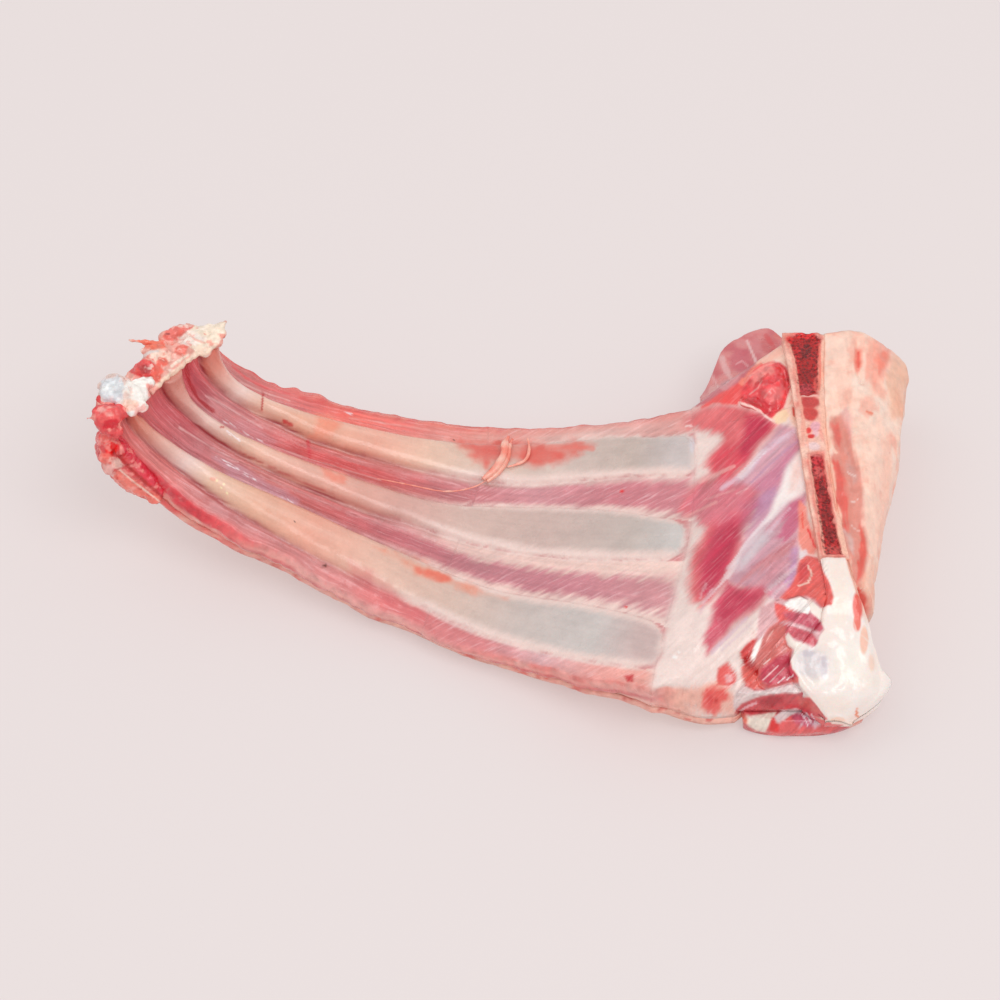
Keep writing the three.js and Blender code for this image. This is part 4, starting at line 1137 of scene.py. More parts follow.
def paint_breast(colour, t, x, y, place, fan):
    """Colour of the muscles and the fat between the rib bones and the breastbone."""
    wobble = rough(place, 5, 3, 31)
    wx = x + 2.2 * grain(place, 5, 51) + 1.8 * fan
    wy = y + 2.2 * grain(place, 5, 52) - 1.8 * fan
    cream = lit(plain((241, 218, 211), place), 0.05 * wobble + 0.04 * fan)
    colour = blend(colour, cream, ease(t + 0.006 * wobble, 0.985, 1.015))
    violet = lit(plain((214, 160, 172), place), 0.22 * fan + 0.08 * wobble)
    violet = blend(violet, shade(246, 230, 234), ease(fan + 0.4 * grain(place, 3, 53), 0.6, 1.3) * 0.5)
    colour = blend(colour, violet, ease(inside(VIOLET_ZONE, wx, wy), -3, 4))
    colour = fill(colour, PINK_ZONE, wx, wy, 1.5 * fan)
    for outline, tone, soft, amount in CRIMSON:
        mask = ease(inside(outline, wx, wy) + 2 * fan, -1.5 * soft, 1.5 * soft) * amount
        muscle = lit(plain(tone, place), 0.18 * fan + 0.10 * wobble)
        colour = blend(colour, muscle, mask)
    silver = draw(colour, SILVER_LINES, x, y, 1.5 * fan)
    colour = blend(colour, silver, np.clip(0.7 + 0.5 * fan, 0, 1))
    colour = draw(colour, CREAM_SEAM, x, y, 0.6 * wobble)
    colour = fill(colour, CREAM_FAN, wx, wy, 0)
    colour = fill(colour, BONE_MARGIN, x, y, wobble)
    granular = grain(place, 0.9, 37)
    near_bone = ease(inside(BONE_MARGIN[0][0], x, y), -1, 2)
    colour = blend(colour, shade(236, 140, 122), near_bone * ease(granular + wobble, 0.3, 1.0) * 0.45)
    colour = draw(colour, BONE_MARGIN_LINES, x, y, 0.4 * wobble)
    colour = paint_far_end(colour, x, y, place)
    colour = fill(colour, RED_SPOTS[:1], x, y, wobble)
    return fill(colour, RED_SPOTS[1:], x, y, 0.7 * wobble + 0.5 * granular)


def paint_far_end(colour, x, y, place):
    """Colour of the red meat at the far end of the breast, which runs over two pieces."""
    wobble = rough(place, 3, 3, 75)
    colour = fill(colour, FAR_EDGE, x, y, wobble)
    painted = draw(fill(colour, FAR_RED, x, y, 0.8 * wobble), FAR_LINES, x, y, 0.5 * wobble)
    zone = ease(inside(FAR_RED[0][0], x, y), -1, 1)
    painted = blend(painted, shade(252, 176, 168), zone * ease(grain(place, 0.9, 77), 0.5, 1.2) * 0.5)
    return lit(painted, zone * 0.3 * rough(place, 1.6, 2, 76))


def paint_corner(colour, x, y, place):
    """Colour of the small muscles in the near corner of the breast end, which run over several pieces."""
    wobble = rough(place, 4, 3, 71)
    fibres = streaks(x, y, 46, 16, 1.6, 72)
    granular = grain(place, 0.8, 73)
    painted = fill(colour, CORNER, x, y, 0.7 * wobble)
    painted = draw(painted, CORNER_LINES_AND_HIGHLIGHTS, x, y, 0.4 * wobble)
    white = lit(plain((249, 234, 224), place), 0.05 * wobble)
    painted = blend(painted, white, ease(inside(WHITE_OUTLINE, x, y) + 0.9 * wobble, -1.2, 1.2))
    zone = ease(inside(CORNER_ZONE, x, y), -3, 3) * (1 - ease(inside(WHITE_OUTLINE, x, y), -1, 1))
    return lit(painted, zone * (0.16 * fibres + 0.10 * granular))


def paint_marks(colour, x, y, place):
    """Blood, cuts and specks on the hollow side, with painted glints and highlights and dark crease lines
    that are partly painted shade.
    """
    patch = rough(place, 4, 3, 61)
    fine = grain(place, 1.3, 62)
    for outline, tone, soft, amount in STAINS:
        mask = ease(inside(outline, x, y) + 5 * patch + fine, -soft, soft * 1.3)
        colour = blend(colour, shade(*tone), mask * amount * (0.9 + 0.3 * patch))
    colour = draw(colour, CUTS_AND_CREASE_SHADE, x, y, 0.8 * patch)
    for line in GLINTS:
        broken = ease(streaks(x, y, -32, 5, 1.0, 71), -0.1, 0.4)
        mask = (1 - ease(off_line(line, x, y) + 1.5 * patch + 0.6 * fine, 0.3, 1.9)) * broken
        colour = blend(colour, shade(250, 236, 240), mask * 0.8)
    return daub(colour, SPECKS_AND_HIGHLIGHTS, x, y, 0.4 * patch)


def paint_cut(t, v, w, place):
    """Colour of the cut sides: red meat with lines of fat."""
    granular = rough(place, 1.5, 2, 81)
    patches = rough(place, 6, 3, 82)
    near_tone = toned(NEAR_CUT, t + 0.03 * patches)
    near_tone = blend(near_tone, shade(190, 40, 56), ease(patches, 0.2, 0.8) * (1 - ease(t, 0.28, 0.5)) * 0.5)
    near_tone = blend(near_tone, shade(250, 214, 204), ease(-patches, 0.1, 0.6) * ease(t, 0.3, 0.45) * 0.35)
    left = 1 - ease(t, 0.22, 0.34)
    specks = grain(place, 0.7, 83) + 0.6 * grain(place, 1.3, 84)
    near_tone = blend(near_tone, shade(250, 168, 162), ease(specks, 0.5, 1.1) * (0.25 + 0.05 * left))
    near_tone = blend(near_tone, shade(206, 40, 56), ease(-specks, 0.45, 1.1) * (0.25 + 0.45 * left))
    near_tone = lit(near_tone, 0.3 * granular)
    level = w + 0.1 * patches
    lean = (1 - left) * (1 - ease(t, 0.98, 1.06))
    near_tone = blend(near_tone, shade(250, 196, 182), ease(0.34 - level, -0.08, 0.08) * lean * 0.85)
    near_tone = blend(near_tone, shade(214, 64, 72), hump(level - 0.48, 0.13) * lean * 0.75)
    near_tone = blend(near_tone, shade(250, 182, 170), hump(level - 0.74, 0.1) * lean * 0.6)
    near_tone = blend(near_tone, shade(242, 146, 132), (1 - ease(level, 0.3, 0.4)) * left * 0.9)
    near_tone = blend(near_tone, shade(250, 212, 194), hump(level - 0.38, 0.04) * left)
    near_tone = blend(near_tone, shade(246, 196, 184), (1 - ease(level, 0.06, 0.16)) * (1 - left) * 0.7)
    far_tone = mottled(place, (238, 124, 114), (226, 88, 88), 0.4 + patches)
    return np.where((v < 0.5)[:, None], far_tone, near_tone)


# Tufts that stand out of the far edge, as (t, their spread in t, their height).
FAR_TUFTS = [(0.135, 0.016, 1.4), (0.27, 0.02, 1.9), (0.225, 0.015, 1), (0.18, 0.012, 0.9)]
ON_RIM = 1e-4  # distance from a cut side, in millimetres, up to which a vertex is on it
AT_END = 1e-3  # share of a block up to which a vertex is at its end


def edge_push(t, v, rim, place):
    """How far the ragged far and near edges stand out, towards the far side."""
    ragged = 1.3 * rough(place, 12, 3, 4) + 0.3 * rough(place, 2.5, 2, 5)
    for centre, size, tall in FAR_TUFTS:
        ragged = ragged + np.where(v < 0.5, tall * hump(t - centre, size), 0)
    push = ragged * hump(rim, 2.5) * np.where(v < 0.5, 1, -1) * (1 - ease(t, 1.05, 1.15))
    return push * (0.35 + 0.65 * ease(t, 0.1, 0.2))


def wall_points(t, v, w):
    """Points of the chest wall, how far they are inside a rib and how far from the cut sides."""
    _, across, out, width = sheet_axes(t, v)
    level = sheet(t, v)
    height, depth = wall_surface(t, v, width)
    muscle = ease(skirt_cover(t, v), -4, 7)
    flesh_part = 1 - ease(depth, 0, 1.5) * 0.75
    relief = 0.28 * rough(level, 9, 3, 1) + 0.16 * rough(level, 2.4, 3, 2) * flesh_part
    height = height + muscle * (2.6 + 0.5 * rough(level, 7, 2, 3)) + relief
    sx, sy = seen(level + out * height[:, None])
    fan = streaks(sx, sy, 44, 30, 3.4, 43)
    height = height + 0.15 * fan * ease(t, 1.0, 1.04)
    for outline in HOLLOWS:
        height = height - 0.7 * ease(inside(outline, sx, sy), -1, 2)
    height = height - 0.3 * hump(off_line(STRAND_SHADOW, sx, sy), 5)
    rim = np.minimum(v, 1 - v) * width
    height = height - (0.5 + 0.5 * ease(t, 0.1, 0.3)) * hump(rim, 1.1)
    push = edge_push(t, v, rim, level)
    top = level + out * height[:, None] + across * push[:, None]
    low = underside(t, v, 0.2) + across * (push * 0.6)[:, None]
    points = between(low, top, w[:, None])
    side = (rim < ON_RIM) & (w > AT_END) & (w < 1 - AT_END)
    granular = rough(points, 3.5, 4, 6)
    swell = (1.5 - 1.1 * ease(t, 0.9, 1.05)) * (0.15 + 0.85 * ease(t, 0.16, 0.28))
    bulge = (np.sin(np.pi * w) * swell + 0.6 * granular) * np.where(v < 0.5, 1, -1)
    points = points + across * np.where(side & (t < 1.28), bulge, 0)[:, None]
    return points, depth, rim


WALL_GRID = (400, 195, 7)
FEATHER_ANGLE = 27  # slant of the fibres between the ribs and of those beside the breastbone, in degrees
FAN_ANGLE = 44


def wall_colour(t, v, w, rim, points):
    """Colour of the whole wall, and how far it is that of the cut sides."""
    x, y = seen(points)
    feather = streaks(x, y, FEATHER_ANGLE, 26, 2.4, 5) * 0.6 + streaks(x, y, 31, 16, 1.3, 6) * 0.5
    fan = streaks(x, y, FAN_ANGLE, 34, 2.6, 41) * 0.6 + streaks(x, y, 41, 18, 1.5, 42) * 0.4
    colour = paint_flesh(t, v, sheet_axes(t, v)[3], x, y, points, feather)
    far_rim = np.where(v < 0.1, 1 - ease(rim, 1.0, 4.5), 0) * (1 - ease(t, 0.95, 1.02)) * ease(t, 0.2, 0.28)
    far_tone = mottled(points, (240, 138, 124), (226, 100, 98), 0.4 + feather)
    colour = blend(colour, far_tone, far_rim * (0.9 - 0.45 * ease(t, 0.5, 0.7)))
    colour = paint_breast(colour, t, x, y, points, fan)
    colour = paint_corner(colour, x, y, points)
    colour = paint_marks(colour, x, y, points)
    on_side = ((rim < ON_RIM) & (w < 1 - AT_END)) | (w < AT_END)
    cut = np.where(on_side, 1.0, hump(rim, 0.6) * 0.7 * (1 - ease(t, 0.98, 1.03)))
    fade = 1 - ease(t + 0.02 * rough(points, 4, 2, 92), 1.1, 1.2)
    cut = cut * np.where(v > 0.5, fade, 1)
    return blend(colour, paint_cut(t, v, w, points), cut), cut


def wall_strands(t, v, points):
    """Where each place is along and across the fibres, which slant more and more towards the breastbone."""
    x, y = seen(points)
    along = spot(t * MM_PER_T / 9, v * 100)
    slant = spot(*slanted(x, y, FEATHER_ANGLE, 26, 2.4))
    steep = spot(*slanted(x, y, FAN_ANGLE, 30, 2.2))
    right = ease(t, 0.5, 0.7)
    return np.where((t > 1.0)[:, None], steep, np.where((right > 0.5)[:, None], slant, along))


def chest_wall():
    """The ribs, the muscle between them and the skirt muscle, which are one surface."""
    wall, u, v, w = block("chest_wall", *WALL_GRID)
    t = between(SPINE_CUT, BREAST_END, u)
    points, depth, rim = wall_points(t, v, w)
    move_vertices(wall, points)
    colour, cut = wall_colour(t, v, w, rim, points)
    bone = ease(depth, -0.5, 1)
    right = ease(t, 0.5, 0.7)
    meaty = ease(colour[:, 0] - colour[:, 1], 0.16, 0.42)
    wet = 0.6 + 0.45 * grain(points, 6, 91) + 0.2 * (1 - right)
    fibrous = (1 - bone * 0.85) * (1 - cut * 0.6) * (0.3 + 0.7 * meaty) * (1.4 - 0.4 * right)
    threads = (1 - bone) * (1 - cut) * meaty * np.where(t > 1, 0.15, 0.2 + 0.1 * right)
    complete(wall, flesh("chest_wall_flesh", 0.44, 0.4, 0.06, fibre=0.34, gloss=0.4), "meat",
             ("meat", "rib_bone_1", "rib_bone_2", "rib_bone_3", "skirt_muscle"), colour, wet,
             strands=wall_strands(t, v, points), fibrous=fibrous, threads=threads)
    thin_out(wall, w < AT_END, 0.08)


def outer_fat():
    """The layer of fat on the outer side."""
    layer, u, v, w = block("outer_fat_layer", 170, 90, 3)
    t = between(SPINE_CUT, BREAST_END, u)
    _, across, _, width = sheet_axes(t, v)
    top = underside(t, v, 0.25)
    low = underside(t, v, FAT_THICKNESS)
    points = between(low, top, w[:, None])
    rim = np.minimum(v, 1 - v) * width
    even = points
    push = edge_push(t, v, rim, sheet(t, v)) * 0.6
    swell = (0.3 * rough(even, 5, 3, 101) + 0.4 * np.sin(np.pi * w)) * np.where(v < 0.5, 1, -1)
    push = push + np.where((rim < ON_RIM) & (t < 1.05), swell, 0)
    points = points + across * push[:, None]
    bumps = 0.35 * rough(even, 7, 3, 102)
    lower = (w < 0.5) & (rim > 0.5)
    points[:, 2] = np.maximum(points[:, 2] + np.where(lower, bumps, 0), 0)
    move_vertices(layer, points)
    colour = mottled(points, (248, 200, 180), (242, 168, 152), 0.4 + rough(even, 12, 4, 103))
    colour = blend(colour, shade(228, 116, 112), ease(rough(even, 18, 4, 104), 0.15, 0.6) * 0.6)
    pale = 0.5 + 0.3 * ease(t, 0.3, 0.5) + 0.5 * rough(even, 3, 3, 107)
    rim_tone = blend(toned(NEAR_CUT, t + 0.03 * rough(even, 5, 2, 106)), shade(248, 190, 174), pale)
    rim_tone = blend(rim_tone, shade(222, 84, 84), ease(rough(even, 2.2, 3, 108), 0.2, 0.5) * 0.7)
    rim_tone = lit(rim_tone, 0.16 * grain(even, 1.0, 109))
    colour = blend(colour, rim_tone, 1 - ease(rim, 1.0, 3.0))
    wet = 0.4 + 0.4 * grain(even, 7, 105)
    complete(layer, flesh("outer_fat_finish", 0.5, 0.4, 0.1), "fat", ("outer_fat",), colour, wet)


# ---------- the breast end
def sawn_block(name, along, across, layers, span, left, right, top, under):
    """A block of the breast end between two borders, by Y."""
    obj, u, v, w = block(name, along, across, layers)
    y = between(*span, v)
    x = between(left(y), right(y), u)
    high, low = top(u, y), under(u, y)
    return obj, u, v, w, np.stack([x, y, between(low, high, w)], 1)


MARROWS = [
    "787,340 794,336 802,335 808,332 814,336 821,339 819,350 818,370 817,396 800,397 797,380 795,360 "
    "790,348",
    "810,457 822,456 824,470 826,485 830,500 832,515 835,530 839,545 842,556 824,556 821,535 818,515 "
    "815,495 812,475",
]
MARROW_SPOTS = [
    (804, 336, 13, 4.5, (240, 58, 58), 0.95), (806, 352, 6, 9, (110, 14, 30), 0.8),
    (797, 362, 2.5, 20, (206, 40, 54), 0.7), (790, 341, 4, 3, (236, 60, 60), 0.8),
    (806, 375, 7, 10, (150, 30, 46), 0.6), (806, 390, 8, 6, (198, 76, 84), 0.7),
    (816, 386, 3, 10, (226, 100, 92), 0.7), (816, 463, 7, 6, (216, 70, 76), 0.85),
    (818, 474, 5, 6, (222, 104, 100), 0.7), (822, 490, 4, 10, (120, 6, 24), 0.7),
    (826, 515, 5, 18, (132, 10, 28), 0.6), (831, 536, 5, 8, (130, 16, 34), 0.7),
    (832, 551, 9, 5, (204, 92, 86), 0.85), (820, 505, 2, 14, (206, 70, 70), 0.6)
]
GRISTLE = [
    (810, 404, 12, 7, (198, 66, 66), 0.95), (809, 416, 10, 9, (206, 68, 66), 0.95),
    (815, 428, 5, 5, (234, 172, 182), 0.95), (815, 436, 4, 3.5, (240, 190, 196), 0.8),
    (808, 433, 3, 3.5, (230, 50, 52), 0.9), (811, 438, 4.5, 2.4, (220, 8, 18), 0.95),
    (813, 448, 8, 5, (242, 208, 208), 0.9), (803, 430, 3, 16, (242, 160, 142), 0.7),
    (822, 436, 3, 10, (244, 160, 146), 0.6), (810, 397.5, 12, 1.3, (250, 190, 180), 0.8)
]
BONE_RIM = [
    ("824,342 822,360 821,380 821,398 824,420 827,445 830,470 834,495 839,522 845,554", (250, 194, 172), 2.4,
     0.95),
    ("819,345 820,365 819,392", (240, 116, 100), 1.1, 0.8),
    ("789,346 794,360 797,380 799,398 804,425 809,456 814,490 820,525 824,556", (246, 176, 156), 1.1, 0.8),
    ("827,462 831,486 836,512", (232, 140, 124), 0.8, 0.6),
]


def breastbone(node, slot, span, seed):
    """A sawn part of the breastbone: spongy marrow in a rim of bone."""
    name = node + "_piece"
    obj, u, _, w, points = sawn_block(
        name, 30, 70, 8, span, lambda y: sawn_left(y) - 1.1, lambda y: curve(SPLIT_RIGHT, y) + 0.6,
        lambda u, y: curve(SPLIT_HEIGHT, y), lambda u, y: curve(SPLIT_HEIGHT, y) - BONE_DEPTH)
    x, y = seen(points)
    tone = rough(points, 4, 3, 213)
    marrow = np.maximum(*[inside(outline, x, y) for outline in MARROWS]) + 1.2 * grain(points, 1.5, 210)
    sponge = ease(marrow, -0.6, 1.2)
    edge = (1 - u) * 10
    dome = 0.9 * ease(edge, 0, 2) + 0.3 * rough(points, 2.5, 3, 211) - 0.6 * sponge
    points[:, 2] += np.where(w > 0.9, dome, 0)
    sideways = 0.3 * rough(points, 2, 2, seed) * np.where((w > 0.02) & (w < 0.98), 1, 0)
    points[:, 0] += np.where((u < 0.01) | (u > 0.99), sideways, 0)
    move_vertices(obj, points)
    colour = mottled(points, (238, 160, 144), (248, 200, 182), 0.5 + tone)
    colour = blend(colour, shade(222, 100, 92), ease(marrow, -5, -1) * 0.7)
    colour = blend(colour, shade(182, 34, 44), sponge)
    colour = daub(colour, GRISTLE, x, y, tone)
    colour = daub(colour, MARROW_SPOTS, x, y, tone)
    colour = draw(colour, BONE_RIM, x, y, tone)
    complete(obj, marrow_finish(name + "_finish"), slot, (node,), colour, 0.6 + 0.4 * tone,
             sponge=sponge if slot == "marrow" else sponge * 0)


# Spots on the white cartilage as (x, y, half width, half height, tone, amount), with greyer patches in its
# hollow; the small near-white one at (826, 674) is a painted highlight.
CARTILAGE_SPOTS_AND_HIGHLIGHT = [
    (840, 600, 9, 30, (250, 234, 222), 0.8), (851, 662, 16, 24, (250, 240, 230), 0.8),
    (813, 662, 16, 17, (218, 208, 210), 0.85), (808, 652, 9, 4, (206, 196, 204), 0.7),
    (824, 664, 4, 12, (206, 196, 204), 0.6), (826, 674, 3.5, 2.5, (252, 248, 247), 0.6),
    (800, 660, 5, 12, (232, 222, 220), 0.7), (834, 703, 16, 8, (247, 230, 220), 0.7),
    (870, 680, 10, 8, (246, 232, 222), 0.7), (857, 712, 1.6, 5, (240, 130, 90), 0.9),
    (812, 692, 10, 5, (244, 222, 216), 0.6), (858, 606, 5.5, 14, (236, 96, 84), 0.95),
    (857, 623, 4, 9, (238, 110, 94), 0.9), (864, 640, 4, 14, (248, 190, 166), 0.8),
    (872, 662, 4, 10, (248, 206, 184), 0.6), (838, 716, 8, 3, (250, 210, 190), 0.8)
]


CARTILAGE_HOLLOW = "800,650 815,642 830,650 836,672 826,688 812,688 802,672"


def cartilage_left(y):
    """X of the left side of the white cartilage."""
    near = ease(-y, 29, 38)
    return sawn_left(np.maximum(y, -29)) * (1 - near) + curve(CARTILAGE_LEFT, np.minimum(y, -38)) * near


def breast_cartilage():
    """The white cartilage at the near end of the breastbone."""
    def top(u, y):
        return curve(SPLIT_HEIGHT, y) + ease(-y, 31, 45) * (1.5 * np.sin(np.pi * u) - 3 * u**2)

    def under(u, y):
        fall = ease(-y, 27.5, 29.5)
        return (curve(SPLIT_HEIGHT, y) - BONE_DEPTH) * (1 - fall) + (LOWER_TOP + GAP) * fall

    obj, u, v, w, points = sawn_block(
        "breast_cartilage_piece", 90, 150, 14, (-18.9, -61.2), lambda y: cartilage_left(y) - 0.7,
        lambda y: curve(SPLIT_RIGHT, y) + 0.3 - 4.5 * ease(-y, 54, 62), top, under)
    x, y = seen(points)
    edge = np.minimum((1 - u) * 18, (1 - v) * 42)
    lump = 0.9 * rough(points, 8, 3, 201) * ease(u, 0, 0.2) + 0.12 * rough(points, 1.8, 2, 202)
    hollow = ease(inside(CARTILAGE_HOLLOW, x, y), -7, 6)
    lump = lump - 1.6 * hump(edge, 1.6) - 1.2 * hollow - 0.5 * hump(u * 18, 0.8)
    points[:, 2] += np.where(w > 0.5, lump * w, 0)
    bulge = 1.0 * np.sin(np.pi * w) + 0.5 * rough(points, 5, 2, 203)
    nub = 2.6 * hump(np.hypot(x - 880, (y - 681) * 0.8), 9)
    points[:, 0] += np.where(u > 1 - AT_END, bulge * 0.7 + nub, 0)
    points[:, 1] += np.where(v > 1 - AT_END, -bulge * 0.6, 0)
    move_vertices(obj, points)
    tone = rough(points, 8, 3, 204)
    colour = mottled(points, (248, 237, 231), (247, 229, 219), 0.4 + tone)
    colour = blend(colour, shade(250, 208, 190), ease(y, 708, 724) * 0.5)
    right_edge = (1 - ease((1 - u) * 16, 0.5, 3)) * (1 - ease(y, 600, 630))
    colour = blend(colour, shade(246, 196, 176), right_edge * 0.8)
    colour = daub(colour, CARTILAGE_SPOTS_AND_HIGHLIGHT, x, y, tone)
    outer = paint_corner(colour, x, y, points)
    colour = blend(outer, colour, ease(inside(WHITE_OUTLINE, x, y) + 0.8 * tone, -1.2, 1.2))
    complete(obj, flesh("white_cartilage_finish", 0.36, 0.22, 0.12, gloss=0.5, mottle=0.08), "cartilage",
             ("breast_cartilage",), colour, 0.7 + 0.3 * tone)


GROOVE = "838,395 842,430 850,470 856,510 860,550 860,580 858,620"
FAT_CREASE = "857,342 856,356 858,370 862,382"
FAT_AREAS = [
    ("831,416 842,412 850,428 852,445 858,460 861,480 864,500 866,520 869,540 868,560 864,584 854,582 "
     "850,560 845,545 840,525 835,505 831,485 829,465 836,452 830,440", (226, 146, 132), 2.5, 0.95),
    ("832,462 839,458 845,480 848,505 848,530 842,520 837,500 833,482", (230, 98, 88), 2.5, 0.85),
    ("832,424 839,420 842,434 840,448 834,440", (226, 108, 98), 2, 0.8),
    ("861,520 866,536 867,552 863,572 857,580 858,560 861,542", (230, 96, 84), 1.8, 0.85),
    ("846,530 854,536 855,552 849,548", (216, 184, 178), 2.5, 0.7),
    ("844,440 852,452 858,480 852,486 846,462", (216, 168, 160), 3, 0.6),
    ("852,588 860,584 866,598 864,620 858,632 852,620 850,604", (236, 94, 84), 1.6, 0.9),
    ("852,346 860,350 862,366 856,372 851,360", (240, 126, 108), 2.5, 0.75),
    ("864,342 878,340 886,352 884,376 874,390 866,372", (248, 156, 136), 5, 0.7),
    ("874,356 882,352 884,366 878,376", (240, 120, 100), 2.5, 0.6),
    ("886,352 897,345 908,380 904,420 893,418 889,390", (240, 182, 154), 3, 0.75),
    ("834,340 848,340 850,370 846,402 834,410 830,380", (254, 212, 194), 4, 0.7),
    ("860,400 872,396 876,408 868,416 860,410", (248, 170, 150), 3, 0.6),
    ("866,430 880,420 890,440 886,520 874,560 866,520", (253, 212, 194), 5, 0.8),
    ("884,440 892,440 888,520 882,560 878,540 882,490", (249, 192, 172), 3, 0.6),
    ("862,580 872,560 880,566 876,600 868,600", (249, 190, 166), 3, 0.7),
    ("846,400 852,420 850,440 844,420", (232, 168, 166), 4, 0.6),
]
FAT_LINES = [
    ("826,425 830,445 836,452", (250, 210, 190), 1.4, 0.8),
    ("848,470 856,476", (244, 214, 206), 0.7, 0.7),
    ("850,500 858,498", (246, 220, 212), 0.7, 0.7),
    ("852,522 860,526", (244, 210, 202), 0.7, 0.6),
    ("867,411 872,413", (238, 120, 90), 1.4, 0.8),
    ("857,352 858,366", (232, 90, 78), 0.9, 0.7),
]


def brisket_points(u, v, w):
    """Points of the band of fat, which steps up from under the breastbone, and where they are seen."""
    y = between(*BRISKET_SPAN, v)
    left, step, right = sawn_left(y), curve(SPLIT_RIGHT, y) + 0.15, curve(BRISKET_RIGHT, y)
    stepped = ease(u, 0.10, 0.16)
    share = np.clip((u - 0.14) / 0.86, 0, 1)
    floor_x = between(left, right - 6, u)
    low = curve(SPLIT_HEIGHT, y) - BONE_DEPTH - GAP
    fall = (curve(SPLIT_HEIGHT, y) - BRISKET_RIM) * share**3
    high = curve(SPLIT_HEIGHT, y) + 1.6 * np.sin(np.pi * share) - fall
    top_x = np.where(u < 0.13, left + (step - left) * u / 0.13, between(step, right, share))
    top_z = between(low, high, stepped)
    points = np.stack([between(floor_x, top_x, w), y, top_z * w], 1)
    points[:, 0] += np.where(u > 1 - 1e-6, np.sin(np.pi * w) * 3, 0)
    x, sy = seen(points)
    groove = hump(off_line(GROOVE, x, sy), 8.0) * 1.6
    groove = groove + 1.0 * hump(off_line(FAT_CREASE, x, sy), 3.0)
    lump = 1.1 * rough(points, 9, 3, 301) + 0.45 * rough(points, 3, 2, 302)
    points[:, 2] += np.where(w > 0.98, (lump - groove) * stepped, 0)
    push = 1.2 * rough(points, 9, 3, 303)
    outer = (w > 0.02) & (w < 0.98)
    points[:, 0] += np.where((u > 0.999) & outer, push, 0)
    points[:, 0] += 3.0 * share**2 * hump(y - 56, 7) * w
    points[:, 1] += np.where((v < AT_END) & outer, push, 0) - np.where((v > 0.999) & outer, 0.2, 0)
    points[:, 1] += 1.6 * share * hump(v, 0.08) * w
    return points, x, sy


def brisket_fat():
    """The wide band of fat to the right of the breastbone."""
    obj, u, v, w = block("brisket_fat_piece", 90, 150, 16)
    points, x, y = brisket_points(u, v, w)
    move_vertices(obj, points)
    tone = rough(points, 5, 4, 304)
    colour = mottled(points, (251, 205, 186), (250, 220, 204), 0.4 + 1.2 * tone)
    colour = blend(colour, shade(244, 166, 148), ease(-tone, 0.1, 0.6) * 0.5)
    fibres = streaks(x, y, -82, 14, 2.2, 305)
    colour = fill(colour, FAT_AREAS, x + 1.5 * tone, y, 1.4 * tone + 0.6 * fibres)
    colour = lit(colour, 0.03 * fibres + 0.10 * rough(points, 1.6, 2, 306))
    colour = draw(colour, FAT_LINES, x, y, 0.5 * tone)
    hidden = mottled(points, (251, 205, 186), (246, 176, 158), 0.4 + tone)
    colour = blend(colour, hidden, 1 - ease(w, 0.4, 0.65))
    colour = draw(colour, BONE_RIM[:1], x, y, tone)
    complete(obj, flesh("brisket_fat_finish", 0.45, 0.4, 0.12), "fat", ("brisket_fat",), colour,
             0.4 + 0.5 * tone)


END_MUSCLE_TOPS = (30, 17.5)


def end_muscle():
    """The small cut muscles left of the white cartilage."""
    obj, u, _, w, points = sawn_block(
        "end_muscle_piece", 80, 100, 10, (-30.5, -55.9), lambda y: sawn_left(y) - 0.6,
        lambda y: cartilage_left(y) - 0.3,
        lambda u, y: between(*END_MUSCLE_TOPS, ease(-y, 34, 58)), lambda u, y: LOWER_TOP + GAP + 0 * y)
    x, y = seen(points)
    ridges = streaks(x, y, 50, 30, 5, 401)
    lump = 0.6 * rough(points, 6, 3, 402) + 0.3 * ridges
    for outline in CORNER_HOLLOWS:
        lump = lump - 0.8 * ease(inside(outline, x, y), -1, 2)
    band = 1 - ease(np.abs(inside(CORNER_BAND, x, y)), 0, 2.5)
    points[:, 2] += np.where(w > 0.98, lump * ease((1 - u) * 16, 0, 1.5) - 0.5 * band, 0)
    move_vertices(obj, points)
    tone = rough(points, 3, 3, 403)
    colour = mottled(points, (210, 110, 112), (196, 88, 96), 0.5 + tone)
    colour = paint_corner(colour, *seen(points), points)
    complete(obj, flesh("end_muscle_finish", 0.4, 0.5, 0.05, gloss=0.5), "meat", ("end_muscle",), colour,
             0.8 + 0.2 * tone)


SILVER_PATCH = "797,711 822,710 826,728 800,730"
LOWER_FAR = -29
LOWER_WIDTH = 29.5


